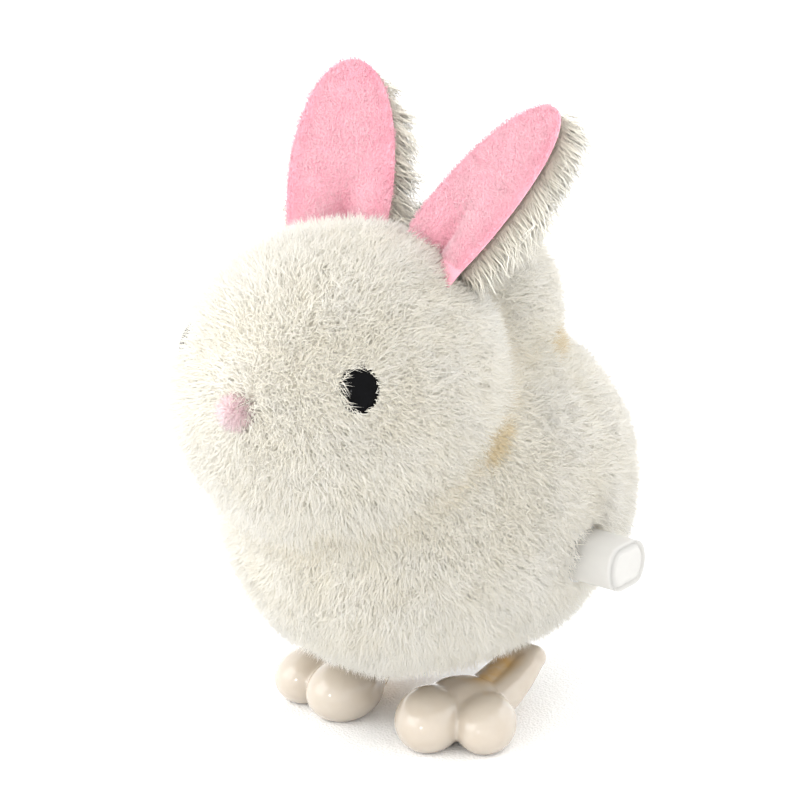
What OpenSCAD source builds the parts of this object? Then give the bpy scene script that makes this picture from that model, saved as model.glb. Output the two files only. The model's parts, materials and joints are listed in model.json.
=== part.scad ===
// Wind-up hopping rabbit: a plush toy with a clockwork motor inside it.
// Millimetres. +Z is up, the rabbit faces -Y, and the winding knob is on its left, +X.
// The origin is on the floor, midway between the feet, on the rabbit's plane of symmetry.

/* [Body] */
// Greatest radius of the plush body, across the rabbit
body_r = 27; // [26:0.5:32]
// Reach of the plush body ahead of its middle
body_front = 35; // [32:0.5:42]
// Reach of the plush body behind its middle
body_back = 36; // [32:0.5:44]
// Height of the body's middle above the floor
body_z = 36; // [35:0.5:38]
// Place of the body's middle along the rabbit
body_y = -2.5; // [-4:0.5:-1]
// Angle that the body's back drops below its front
body_tilt = 6; // [0:1:10]
// Fullness of the body's and the head's outline: 2 is an ellipse, and more is boxier
fullness = 2.2; // [2:0.1:2.6]
// Thickness of the plush, cloth and pile together
plush_t = 3; // [2:0.1:3.5]

/* [Head] */
// Greatest radius of the plush head
head_r = 23; // [20:0.5:28]
// Reach of the muzzle ahead of the head's middle
head_front = 25.5; // [22:0.5:29]
// Reach of the head behind its middle
head_back = 24; // [20:0.5:29]
// Height of the head's middle above the floor
head_z = 59.8; // [57:0.2:64]
// Place of the head's middle along the rabbit
head_y = -24.2; // [-28:0.2:-22]
// Diameter of an eye bead
eye_d = 5.8; // [4:0.1:8]
// Angle from the muzzle round to an eye
eye_turn = 46; // [35:1:65]
// Angle that an eye sits above the head's middle
eye_lift = 17; // [0:1:30]
// Diameter of the nose
nose_d = 5; // [3:0.1:7]
// Angle that the nose sits above the head's middle
nose_lift = 6; // [0:1:12]
// Radius of the nape, the fuller part of the head behind the ears
nape_r = 15; // [12:0.5:18]
// Distance from the head's middle back to the nape's middle
nape_back = 29; // [22:0.5:32]
// Height of the nape's middle above the head's middle
nape_up = 4.2; // [0:0.1:8]

/* [Ears] */
// Length of an ear from its seam to its tip
ear_len = 27.5; // [20:0.5:34]
// Greatest width of an ear
ear_w = 18; // [13:0.5:22]
// Thickness of the furry back layer of an ear
ear_back_t = 3; // [2:0.1:4]
// Thickness of the fleece front panel of an ear
ear_front_t = 1; // [0.6:0.1:2]
// Margin of back layer that shows round the front panel
ear_margin = 1.2; // [0.5:0.1:2.5]
// Distance from the middle of the head to the middle of an ear's seam
ear_x = 8.8; // [7:0.2:12]
// Angle that an ear leans back from upright
ear_lean = 36; // [20:1:45]
// Angle that an ear splays out sideways
ear_splay = 24; // [10:1:35]
// Angle that an ear's front panel turns in towards the nose
ear_turn = 28; // [0:1:40]

/* [Tail] */
// Radius of the tail pompom
tail_r = 6; // [4:0.5:9]

/* [Winding knob] */
// Diameter of the knob's barrel
knob_d = 8.8; // [7:0.1:9.4]
// Thickness of the knob across its two thumb flats
knob_flat = 7; // [5.5:0.1:8.8]
// Length of the knob
knob_len = 8.5; // [7:0.1:12]
// Depth that the knob's foot sits below the tips of the pile
knob_sink = 1.6; // [1:0.1:2]

/* [Motor] */
// Height of the winding shaft above the floor
wind_z = 29.5; // [29:0.5:32]
// Place of the winding shaft along the rabbit
wind_y = 3; // [2:0.5:4]
// Radius of the winding shaft
shaft_r = 1.2; // [1:0.05:1.4]
// Gear module: a gear's pitch diameter over its number of teeth
gear_m = 0.5; // [0.45:0.01:0.52]
// Teeth on the great wheel
great_n = 40; // [36:1:42]
// Teeth on the second wheel
second_n = 28; // [26:1:30]
// Teeth on each pinion
pinion_n = 10; // [10:1:12]
// Half of the motor case's width
case_half = 5.5; // [5.3:0.1:5.8]
// Thickness of the motor case's walls
case_wall = 0.9; // [0.7:0.1:1.2]

/* [Crank and legs] */
// Throw of the crank pins
crank_throw = 1.2; // [0.8:0.1:1.3]
// Radius of the crank pins
crank_pin_r = 0.6; // [0.4:0.05:0.7]
// Place of the crank's axis along the rabbit
crank_y = -4; // [-5:0.5:-3]
// Height of the crank's axis above the floor
crank_z = 18.2; // [18:0.1:19]
// Place of the legs' hinge along the rabbit
hinge_y = 6.5; // [5.5:0.5:7]
// Height of the legs' hinge above the floor
hinge_z = 8.4; // [8:0.1:8.6]
// Thickness of a leg's upper plate
leg_plate_t = 1.8; // [1.4:0.1:2]
// Radius of the legs' axle
axle_r = 0.95; // [0.7:0.05:1.1]

/* [Feet] */
// Distance from the rabbit's middle to the middle of a foot
foot_x = 12.3; // [11:0.1:14]
// Place of the middle of the toes along the rabbit
toe_y = -12; // [-14:0.5:-11]
// Radius of a toe
toe_r = 4.4; // [3.8:0.1:5]
// Distance between the two toes of a foot
toe_gap = 8.4; // [5:0.1:9]
// Angle that a foot points outwards
foot_splay = 18; // [0:1:25]

/* [Underside] */
// Height of the base plate's underside above the floor
plate_z = 12; // [11.8:0.1:12.2]
// Thickness of the base plate
plate_t = 1.4; // [1:0.1:1.5]
// Thickness of the motor housing's walls
housing_wall = 1; // [0.8:0.1:1.4]
// Radius of the screws' threads
screw_r = 0.6; // [0.5:0.05:0.8]

/* [Fits] */
// Radial clearance of a turning shaft in its hole
run_fit = 0.05; // [0.03:0.01:0.08]
// Radial clearance of a piece that is pushed onto a shaft
push_fit = 0.01; // [0.01:0.01:0.03]
// Gap between pieces that only lie beside each other
lay_gap = 0.1; // [0.05:0.05:0.2]
// Gap between a moving piece and what it passes
pass_gap = 0.3; // [0.2:0.05:0.4]
// Thinning of each gear tooth at its pitch circle
backlash = 0.08; // [0.05:0.01:0.12]

/* [Hidden] */

// Points of an outline's curved stretch, and facets of true round shapes
CURVE_POINTS = 24;
ROUND = 64;
// Facets of a shape inside a hull
HULL_ROUND = 28;

// Middles of the body and the head
body_at = [0, body_y, body_z];
head_at = [0, head_y, head_z];
nape_at = head_at + [0, nape_back, nape_up];

// Gears: pitch radii, tooth heights and the places of the three axes, as [y, z]
PRESSURE_ANGLE = 25;
ADDENDUM = 0.8 * gear_m;
DEDENDUM = 1.05 * gear_m;
great_pitch = gear_m * great_n / 2;
second_pitch = gear_m * second_n / 2;
pinion_pitch = gear_m * pinion_n / 2;
wind_at = [wind_y, wind_z];
crank_at = [crank_y, crank_z];
hinge_at = [hinge_y, hinge_z];
mesh_1 = great_pitch + pinion_pitch;
mesh_2 = second_pitch + pinion_pitch;
span = norm(crank_at - wind_at);
toward = (crank_at - wind_at) / span;
along = (mesh_1 * mesh_1 - mesh_2 * mesh_2 + span * span) / (2 * span);
aside = sqrt(mesh_1 * mesh_1 - along * along);
second_at = wind_at + along * toward + aside * [toward.y, -toward.x];
great_turn = bearing(second_at - wind_at);
second_turn = bearing(crank_at - second_at);

// Layers of the motor along X
GEAR_GAP = 0.2;
case_in = case_half - case_wall;
great_x0 = -1;
great_t = 1.2;
ratchet_x0 = great_x0 + great_t + GEAR_GAP;
ratchet_t = 1;
second_x0 = ratchet_x0 + ratchet_t + 1;
second_t = 1.2;
spring_x0 = -case_in + GEAR_GAP;
spring_x1 = great_x0 - GEAR_GAP;
arbor_r = 0.6;
crank_arbor_r = 0.8;

// Ratchet and click, in a frame with the wheel's middle at 0
RATCHET_TEETH = 12;
ratchet_out = 4.2;
ratchet_in = 3.2;
click_pivot = [4.4, 6];
click_pin_r = 0.55;
CLICK_TURN = 100;

// Mainspring: turns, strip thickness, and radii of its inner and outer turns
SPRING_TURNS = 6;
spring_t = 0.25;
spring_in = shaft_r + GEAR_GAP;
spring_out = great_pitch - 1.2;

// Inside radii of the motor case round the three axes
great_room = great_pitch + ADDENDUM + 2 * pass_gap;
second_room = second_pitch + ADDENDUM + 2 * pass_gap;
crank_room = pinion_pitch + ADDENDUM + 2 * pass_gap;
rivet_r = 0.6;
rivet_head_t = 0.5;
rivet_boss_r = 1.5;
rivet_out = case_wall + 0.5;
rivets_at = [
    wind_at + (great_room + rivet_out) * heading(40),
    wind_at + (great_room + rivet_out) * heading(125),
    crank_at + (crank_room + rivet_out + 0.7) * heading(330)
];

// Cranks and leg plates along X
crank_x0 = case_half + 2 * GEAR_GAP;
crank_t = 1;
leg_x0 = crank_x0 + crank_t + 2 * GEAR_GAP;
leg_x1 = leg_x0 + leg_plate_t;
crank_r = crank_throw + crank_pin_r + 0.6;
leg_swing = asin(crank_throw / norm(crank_at - hinge_at));
window_r = 2 * crank_throw + crank_pin_r + GEAR_GAP;
window_rim = 1.2;
hinge_boss_r = axle_r + 1.15;
lug_t = 2;
foot_boss_x = 15;

// Base plate, its leg slots, and the block that the motor stands on
plate_top = plate_z + plate_t;
plate_x = leg_x1 + 2.1;
plate_y0 = -14;
plate_y1 = 11;
plate_front_corner = 8;
plate_back_corner = 5;
slot_y0 = crank_y - window_r - window_rim - crank_throw;
slot_y1 = hinge_y + 0.5;
housing_y0 = plate_y0 + 2;
slot_x0 = leg_x0 - 1.3 * pass_gap;
slot_x1 = leg_x1 + 1.3 * pass_gap;
screw_grip = 1.8;
pillar_r = 1.4;
pillar_h = 2.1;
pillar_merge = 0.5;
pillars = [
    [case_half / 2, housing_y0 + housing_wall + pillar_r - pillar_merge],
    [(leg_x0 + leg_x1) / 2 - pass_gap, plate_y1 - housing_wall - pillar_r + pillar_merge]
];
block_y0 = pillars[0].y + pillar_r + pass_gap;
block_y1 = 9;
block_h = 4.2;
block_edge = 1.8;
motor_screws = [[case_half / 2, block_y0 + block_edge], [case_half / 2, block_y1 - block_edge]];
screw_head_r = 2 * screw_r;
screw_head_h = screw_r;

// Motor housing: its rooms round the two big wheels
housing_x = plate_x;
housing_great = great_room + rivet_out + rivet_boss_r + pass_gap;
housing_second = second_room + case_wall + 2 * pass_gap;

// Winding knob: where the shaft leaves the pile
knob_x0 = surface_x(wind_y, wind_z) - knob_sink;
knob_x1 = knob_x0 + knob_len;
shaft_x1 = knob_x1 - 2;
bush_x1 = knob_x0 - pass_gap;
bush_r = shaft_r + 1.2;
bush_flange_r = knob_d / 2 + 0.2;
bush_flange_t = 0.8;

// Eyes, nose and ears on the head
eye_dir = [sin(eye_turn) * cos(eye_lift), -cos(eye_turn) * cos(eye_lift), sin(eye_lift)];
eye_reach = head_reach(eye_dir);
eye_seat = 0.12 * eye_d;
shank_r = 0.8;
shank_len = plush_t + 3.2;
washer_r = 3;
washer_t = 0.8;
nose_dir = [0, -cos(nose_lift), sin(nose_lift)];
nose_reach = head_reach(nose_dir);
nose_seat = 0.15 * nose_d;
tail_seat = 0.2 * tail_r;
tail_dir = [0, cos(body_tilt + 12), -sin(body_tilt + 12)];
ear_up = unit([
    tan(ear_splay) * cos(ear_lean), sin(ear_lean), cos(ear_lean)
]);
ear_ahead = unit(-[0, 1, 0] + ear_up.y * ear_up);
ear_face = ear_ahead * cos(ear_turn) - cross(ear_up, ear_ahead) * sin(ear_turn);
ear_side = cross(ear_up, ear_face);
ear_root_dir = unit([ear_x, 11, 18]);
ear_root = head_at + head_reach(ear_root_dir) * ear_root_dir;
ear_sink = 4;

// Sole behind the toes, and the lift of a toe's middle
toe_z = toe_r - 0.9;
heel_y = -3.5;

// ---- Functions ----
function unit(v) = v / norm(v);
function heading(a) = [cos(a), sin(a)];
function bearing(v) = atan2(v.y, v.x);
function turned(v, a) = [v.x * cos(a) - v.y * sin(a), v.x * sin(a) + v.y * cos(a)];

// Radius of a full round outline at a share u of its reach
function round_at(u) = pow(max(0, 1 - pow(abs(u), fullness)), 1 / fullness);

// Half profile of an egg round its own axis: [radius, place], front pole to back pole
function egg(r, front, back) = [
    for (i = [0:CURVE_POINTS])
        let (a = -90 + 180 * i / CURVE_POINTS,
             c = pow(abs(cos(a)), 2 / fullness),
             s = pow(abs(sin(a)), 2 / fullness))
        [i == 0 || i == CURVE_POINTS ? 0 : r * c, (a < 0 ? -front : back) * s]
];

// Place across the rabbit of the body's surface at a given y and z
function surface_x(y, z) =
    let (local = turned([y - body_y, z - body_z], body_tilt),
         r = body_r * round_at(local.x / (local.x < 0 ? body_front : body_back)))
    sqrt(r * r - local.y * local.y);

// Distance from the head's middle to its surface in a direction
function head_reach(d) =
    let (flat = norm([d.x, d.z]) / head_r,
         deep = abs(d.y) / (d.y < 0 ? head_front : head_back))
    1 / pow(pow(flat, fullness) + pow(deep, fullness), 1 / fullness);

// Involute of a base circle at a radius: the angle it has turned, in degrees
function involute(base, r) =
    let (t = sqrt(max(0, pow(r / base, 2) - 1))) t * 180 / PI - atan(t);

// Outline of a gear with n teeth, one tooth centred on angle 0
function gear_outline(n) =
    let (pitch = gear_m * n / 2,
         base = pitch * cos(PRESSURE_ANGLE),
         out = pitch + ADDENDUM,
         root = pitch - DEDENDUM,
         low = max(base, root),
         half = 90 / n - backlash / pitch * 90 / PI + involute(base, pitch),
         radii = [for (i = [0:4]) low + (out - low) * i / 4])
    [for (k = [0:n - 1]) each concat(
        [root * heading(360 * k / n - half + involute(base, low))],
        [for (r = radii) r * heading(360 * k / n - half + involute(base, r))],
        [for (i = [4:-1:0]) radii[i] * heading(360 * k / n + half - involute(base, radii[i]))],
        [root * heading(360 * k / n + half - involute(base, low))]
    )];

// Outline of the ratchet wheel: ramps that end in radial faces
function ratchet_outline() = [
    for (k = [0:RATCHET_TEETH - 1]) each [
        ratchet_in * heading(360 * k / RATCHET_TEETH),
        ratchet_out * heading(360 * (k + 1) / RATCHET_TEETH)
    ]
];

// Outline of the mainspring: out along its outer side and back along its inner side
function spring_radius(u) = spring_in + (spring_out - spring_in) * u;
function spring_outline() =
    let (steps = SPRING_TURNS * 20)
    concat(
        [for (i = [0:steps]) (spring_radius(i / steps) + spring_t) * heading(i * 18)],
        [for (i = [steps:-1:0]) spring_radius(i / steps) * heading(i * 18)]
    );

// Half width of an ear at a share u of its length
function ear_half(u) =
    let (widest = 0.42, seam = 0.68)
    u > widest ? sqrt(max(0, 1 - pow((u - widest) / (1 - widest), 2.1)))
               : 1 - (1 - seam) * pow((widest - u) / widest, 2);
function ear_outline(half, length) =
    let (steps = CURVE_POINTS)
    concat(
        [[-half * ear_half(0), -ear_sink]],
        [for (i = [0:steps]) [-half * ear_half(i / steps), length * i / steps]],
        [for (i = [steps - 1:-1:0]) [half * ear_half(i / steps), length * i / steps]],
        [[half * ear_half(0), -ear_sink]]
    );

// ---- Shapes shared by several pieces ----
// A flat outline in the rabbit's side view, made thick from x0 to x1
module across(x0, x1) {
    translate([x0, 0, 0]) rotate([90, 0, 90]) linear_extrude(x1 - x0) children();
}

// A round bar along X at a place [y, z]
module bar(x0, x1, r, at) {
    translate([x0, at.x, at.y]) rotate([0, 90, 0]) cylinder(h = x1 - x0, r = r, $fn = ROUND);
}

// An upright round bar
module post(x, y, z0, z1, r) {
    translate([x, y, z0]) cylinder(h = z1 - z0, r = r, $fn = ROUND);
}

// An egg round a line along Y that its back end drops below by a tilt
module egg_solid(at, tilt, r, front, back) {
    translate(at) rotate([-90 - tilt, 0, 0])
        rotate_extrude($fn = ROUND) polygon(egg(r, front, back));
}

module body_egg(inset = 0) {
    egg_solid(body_at, body_tilt, body_r - inset, body_front - inset, body_back - inset);
}

module head_egg(inset = 0) {
    egg_solid(head_at, 0, head_r - inset, head_front - inset, head_back - inset);
}

// Everything below a height
module below(z) {
    translate([-100, -100, z - 200]) cube(200);
}

module both_sides() {
    children();
    mirror([1, 0, 0]) children();
}

// An upright bar's line moved to the head's surface and turned to point outwards
module on_head(dir, reach) {
    translate(head_at + reach * dir)
        rotate([0, acos(dir.z), atan2(dir.y, dir.x)]) children();
}

module in_ear_frame() {
    multmatrix([
        [ear_side.x, ear_up.x, ear_face.x, ear_root.x],
        [ear_side.y, ear_up.y, ear_face.y, ear_root.y],
        [ear_side.z, ear_up.z, ear_face.z, ear_root.z],
        [0, 0, 0, 1]
    ]) children();
}

module gear(n, at, turn, x0, x1) {
    across(x0, x1) translate(at) rotate(turn) polygon(gear_outline(n));
}

// Side view of the motor's inside, grown by a wall
module motor_room(grow = 0) {
    hull() {
        translate(wind_at) circle(great_room + grow, $fn = ROUND);
        translate(second_at) circle(second_room + grow, $fn = ROUND);
        translate(crank_at) circle(crank_room + grow, $fn = ROUND);
    }
}

// Side view of the housing's inside, grown by a wall
module housing_room(grow = 0) {
    hull() {
        translate(wind_at) circle(housing_great + grow, $fn = ROUND);
        translate(second_at) circle(housing_second + grow, $fn = ROUND);
        translate([housing_y0 + housing_wall - grow, plate_top])
            square([plate_y1 - housing_y0 - 2 * housing_wall + 2 * grow, 1]);
    }
}

// Plan of the base plate: a rectangle, rounder in front than behind, grown by a gap
module plate_plan(grow = 0) {
    y0 = plate_y0 + plate_front_corner;
    y1 = plate_y1 - plate_back_corner;
    translate([-plate_x - grow, y0]) square([2 * (plate_x + grow), y1 - y0]);
    plate_end(y0, plate_front_corner, grow, -1);
    plate_end(y1, plate_back_corner, grow, 1);
}

// One end of the plate, from the line y outwards, with two round corners
module plate_end(y, corner, grow, way) {
    x = plate_x - corner;
    reach = corner + grow;
    translate([-x, way > 0 ? y : y - reach]) square([2 * x, reach]);
    for (cx = [-x, x]) translate([cx, y]) circle(reach, $fn = ROUND);
}

// ---- Plush, stuffing and trim ----
module body_plush() {
    color("ivory") difference() {
        body_egg();
        difference() {
            body_egg(plush_t);
            below(plate_z + plush_t);
        }
        below(plate_z);
        translate([0, 0, plate_z - 1]) linear_extrude(plate_t + 3) plate_plan(lay_gap);
        across(-housing_x - lay_gap, housing_x + lay_gap) housing_room(housing_wall + lay_gap);
        bar(0, 2 * body_r, bush_flange_r + lay_gap, wind_at);
        at_tail() sphere(tail_r + lay_gap, $fn = ROUND);
    }
}

module body_stuffing() {
    color("white") difference() {
        body_egg(plush_t + lay_gap);
        below(plate_z + plush_t + lay_gap);
        across(-housing_x - lay_gap, housing_x + lay_gap) housing_room(housing_wall + lay_gap);
        bar(0, 2 * body_r, bush_r + lay_gap, wind_at);
        bar(bush_x1 - bush_flange_t - lay_gap, 2 * body_r, bush_flange_r + lay_gap, wind_at);
    }
}

module head_plush() {
    color("ivory") difference() {
        head_egg();
        head_egg(plush_t);
        body_egg(-lay_gap);
        both_sides() eye_parts(lay_gap);
    }
}

module nape_plush() {
    color("ivory") difference() {
        translate(nape_at) sphere(nape_r, $fn = ROUND);
        head_egg(-lay_gap);
        body_egg(-lay_gap);
    }
}

module head_stuffing() {
    color("white") difference() {
        head_egg(plush_t + lay_gap);
        body_egg(-lay_gap);
        both_sides() eye_parts(lay_gap);
    }
}

// An ear layer between two depths, cut to the head's round surface
module ear_layer(half, length, z0, z1) {
    difference() {
        in_ear_frame() translate([0, 0, z0]) linear_extrude(z1 - z0)
            polygon(ear_outline(half, length));
        head_egg(-lay_gap);
        body_egg(-lay_gap);
    }
}

module ear_back() {
    color("white") ear_layer(ear_w / 2, ear_len, -ear_back_t, 0);
}

module ear_front() {
    color("pink") ear_layer(ear_w / 2 - ear_margin, ear_len - ear_margin, lay_gap / 2, ear_front_t);
}

// Bead and shank of the left eye, and room for its washer
module eye_bead(grow = 0) {
    on_head(eye_dir, eye_reach - eye_seat) {
        sphere(eye_d / 2 + grow, $fn = ROUND);
        translate([0, 0, -shank_len - grow]) cylinder(h = shank_len, r = shank_r + grow, $fn = ROUND);
    }
}

module eye_washer(grow = 0) {
    on_head(eye_dir, eye_reach - plush_t - washer_t - 2 * lay_gap)
        translate([0, 0, -grow])
            cylinder(h = washer_t + 2 * grow, r = washer_r + grow, $fn = ROUND);
}

module eye_parts(grow) {
    eye_bead(grow);
    eye_washer(grow);
}

module eye_washers() {
    color("gainsboro") both_sides() difference() {
        eye_washer();
        eye_bead(push_fit);
    }
}

module nose() {
    color("lightpink") difference() {
        translate(head_at + (nose_reach - nose_seat) * nose_dir) sphere(nose_d / 2, $fn = ROUND);
        head_egg(-lay_gap);
    }
}

// A line along Z moved to the middle of the pompom and turned to point outwards
module at_tail() {
    translate(body_at + (body_back + tail_seat) * tail_dir)
        rotate([-bearing([tail_dir.z, tail_dir.y]), 0, 0]) children();
}

// The pompom: a ball, flat where it is sewn on inside the plush
module tail() {
    flat = plush_t * 0.6 + tail_seat;
    edge = acos(flat / tail_r);
    color("ivory") at_tail() rotate_extrude($fn = ROUND) polygon(concat(
        [[0, -flat]],
        [for (i = [0:CURVE_POINTS])
            let (a = edge - 90 + (180 - edge) * i / CURVE_POINTS)
            [i == CURVE_POINTS ? 0 : tail_r * cos(a), tail_r * sin(a)]]
    ));
}

// ---- Underside and housing ----
module base_plate() {
    color("oldlace") difference() {
        union() {
            translate([0, 0, plate_z]) linear_extrude(plate_t) plate_plan();
            both_sides() hinge_lug();
        }
        both_sides() {
            translate([slot_x0, slot_y0, plate_z - 1])
                cube([slot_x1 - slot_x0, slot_y1 - slot_y0, plate_t + 2]);
            for (at = concat(motor_screws, pillars)) screw_hole(at);
        }
        bar(-foot_boss_x, foot_boss_x, axle_r + run_fit, hinge_at);
    }
}

module hinge_lug() {
    x1 = leg_x0 - GEAR_GAP;
    x0 = x1 - lug_t;
    bar(x0, x1, hinge_boss_r, hinge_at);
    translate([x0, hinge_y - hinge_boss_r, hinge_z])
        cube([x1 - x0, 2 * hinge_boss_r, plate_z - hinge_z + plate_t / 2]);
}

module screw_hole(at) {
    post(at.x, at.y, plate_z - 1, plate_top + 1, screw_r + lay_gap);
    post(at.x, at.y, plate_z - 1, plate_z + screw_head_h, screw_head_r + lay_gap);
}

// A screw up through the plate into what stands on it
module screw(at) {
    post(at.x, at.y, plate_z, plate_top + screw_grip, screw_r);
    post(at.x, at.y, plate_z, plate_z + screw_head_h - push_fit, screw_head_r);
}

module housing_screw_set() {
    color("silver") both_sides() for (at = pillars) screw(at);
}

module motor_screw_set() {
    color("silver") both_sides() for (at = motor_screws) screw(at);
}

module housing_half() {
    difference() {
        union() {
            difference() {
                across(0, housing_x) housing_room(housing_wall);
                across(-1, housing_x - housing_wall) housing_room();
                below(plate_top);
            }
            intersection() {
                for (at = pillars) post(at.x, at.y, plate_top, plate_top + pillar_h, pillar_r);
                across(0, housing_x) housing_room(housing_wall);
            }
        }
        for (at = pillars) screw_pocket(at);
    }
}

// Hole that a screw from below cuts its thread in
module screw_pocket(at) {
    post(at.x, at.y, 0, plate_top + screw_grip + lay_gap, screw_r + push_fit);
}

module housing_left() {
    color("antiquewhite") difference() {
        housing_half();
        bar(0, 2 * housing_x, shaft_r + pass_gap, wind_at);
    }
}

module housing_right() {
    color("antiquewhite") mirror([1, 0, 0]) housing_half();
}

module shaft_bush() {
    color("white") difference() {
        union() {
            bar(housing_x, bush_x1, bush_r, wind_at);
            bar(bush_x1 - bush_flange_t, bush_x1, bush_flange_r, wind_at);
        }
        bar(0, 2 * body_r, shaft_r + run_fit, wind_at);
    }
}

// ---- Motor case ----
module case_half_shell() {
    difference() {
        across(0, case_half) {
            motor_room(case_wall);
            for (at = rivets_at) translate(at) circle(rivet_boss_r, $fn = ROUND);
            translate([block_y0, plate_top]) square([block_y1 - block_y0, block_h]);
        }
        across(-1, case_in) motor_room();
        for (at = rivets_at) bar(-1, 2 * case_half, rivet_r + push_fit, at);
        bar(0, 2 * case_half, shaft_r + run_fit, wind_at);
        bar(0, 2 * case_half, arbor_r + run_fit, second_at);
        bar(0, 2 * case_half, crank_arbor_r + run_fit, crank_at);
        for (at = motor_screws) screw_pocket(at);
    }
}

module motor_case_left() {
    color("khaki") case_half_shell();
}

module motor_case_right() {
    color("goldenrod") mirror([1, 0, 0]) case_half_shell();
}

module case_rivets() {
    color("silver") for (at = rivets_at) {
        bar(-case_half - rivet_head_t, case_half + rivet_head_t, rivet_r, at);
        both_sides() bar(case_half, case_half + rivet_head_t, 2 * rivet_r, at);
    }
}

// ---- Winding ----
module winding_shaft() {
    color("silver") bar(-case_half, shaft_x1, shaft_r, wind_at);
}

module winding_knob() {
    color("white") difference() {
        intersection() {
            bar(knob_x0, knob_x1, knob_d / 2, wind_at);
            translate([knob_x0, wind_y - knob_d, wind_z - knob_flat / 2])
                cube([knob_len, 2 * knob_d, knob_flat]);
        }
        bar(0, shaft_x1 + push_fit, shaft_r + push_fit, wind_at);
    }
}

module ratchet_wheel() {
    color("gold") difference() {
        across(ratchet_x0, ratchet_x0 + ratchet_t)
            translate(wind_at) rotate(CLICK_TURN) polygon(ratchet_outline());
        bar(0, case_half, shaft_r + push_fit, wind_at);
    }
}

module mainspring() {
    color("steelblue") across(spring_x0, spring_x1) translate(wind_at) polygon(spring_outline());
}

// ---- Gear train ----
module great_wheel() {
    pivot = wind_at + turned(click_pivot, CLICK_TURN);
    color("darkkhaki") difference() {
        union() {
            gear(great_n, wind_at, great_turn, great_x0, great_x0 + great_t);
            bar(great_x0, ratchet_x0 + ratchet_t, click_pin_r, pivot);
        }
        bar(-case_half, case_half, shaft_r + run_fit, wind_at);
    }
}

module click() {
    reach = click_pivot.y;
    color("orange") difference() {
        across(ratchet_x0, ratchet_x0 + ratchet_t) translate(wind_at) rotate(CLICK_TURN) {
            polygon([
                [ratchet_in + 0.25, 0.13], [ratchet_out + 0.4, 0.13], [click_pivot.x + 0.9, reach],
                [click_pivot.x - 0.9, reach], [ratchet_out * cos(30) + 0.25, ratchet_out / 2 + 0.1]
            ]);
            translate(click_pivot) circle(2 * click_pin_r + 0.1, $fn = ROUND);
        }
        bar(0, case_half, click_pin_r + run_fit, wind_at + turned(click_pivot, CLICK_TURN));
    }
}

module second_wheel() {
    mesh_turn = great_turn + 180 + 180 / pinion_n;
    color("khaki") difference() {
        union() {
            gear(second_n, second_at, second_turn, second_x0, second_x0 + second_t);
            gear(pinion_n, second_at, mesh_turn, great_x0 - GEAR_GAP, great_x0 + great_t + GEAR_GAP);
            bar(great_x0, second_x0 + second_t / 2, pinion_pitch - DEDENDUM, second_at);
        }
        bar(-case_half, case_half, arbor_r + push_fit, second_at);
    }
}

module second_arbor() {
    color("silver") bar(-case_half, case_half, arbor_r, second_at);
}

module crank_pinion() {
    color("khaki") difference() {
        gear(pinion_n, crank_at, second_turn + 180 + 180 / pinion_n,
            second_x0 - GEAR_GAP, second_x0 + second_t + GEAR_GAP);
        bar(-case_half, case_half, crank_arbor_r + push_fit, crank_at);
    }
}

module crank_arbor() {
    color("silver") bar(-crank_x0 - crank_t, crank_x0 + crank_t, crank_arbor_r, crank_at);
}

module crank() {
    pin_at = crank_at + crank_throw * unit(crank_at - hinge_at);
    difference() {
        union() {
            bar(crank_x0, crank_x0 + crank_t, crank_r, crank_at);
            bar(crank_x0, leg_x1 + pass_gap, crank_pin_r, pin_at);
        }
        bar(0, crank_x0 + crank_t, crank_arbor_r + push_fit, crank_at);
    }
}

module crank_left() {
    color("tan") crank();
}

module crank_right() {
    color("tan") mirror([1, 0, 0]) crank();
}

// ---- Legs ----
module leg_axle() {
    color("silver") bar(-foot_boss_x + 2, foot_boss_x - 2, axle_r, hinge_at);
}

module toe(x) {
    hull() for (y = [-1.2, 2]) translate([x, y, toe_z]) sphere(toe_r, $fn = HULL_ROUND);
}

module foot() {
    arm_w = 2 * hinge_boss_r;
    difference() {
        union() {
            translate([foot_x, toe_y, 0]) rotate(foot_splay) for (x = [-1, 1]) toe(x * toe_gap / 2);
            hull() {
                translate([foot_x, toe_y + 3, toe_z]) sphere(toe_r - 0.7, $fn = HULL_ROUND);
                translate([foot_boss_x - 2.4, hinge_y, hinge_z]) sphere(hinge_boss_r, $fn = HULL_ROUND);
            }
            hull() {
                translate([foot_x, toe_y + 2, 0]) cylinder(h = 3, r = toe_r - 1, $fn = HULL_ROUND);
                translate([foot_x - 0.5, heel_y, 0]) cylinder(h = 3, r = 2.4, $fn = HULL_ROUND);
            }
            bar(leg_x0, foot_boss_x - 1, hinge_boss_r, hinge_at);
            across(leg_x0, leg_x1) {
                translate(crank_at) circle(window_r + window_rim, $fn = ROUND);
                translate(hinge_at) rotate(bearing(crank_at - hinge_at))
                    translate([0, -arm_w / 2]) square([norm(crank_at - hinge_at), arm_w]);
            }
        }
        bar(0, 2 * leg_x1, window_r, crank_at);
        bar(0, foot_boss_x - 2 + lay_gap, axle_r + push_fit, hinge_at);
        below(0);
    }
}

module foot_left() {
    color("ivory") foot();
}

module foot_right() {
    color("ivory") mirror([1, 0, 0]) foot();
}

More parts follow.
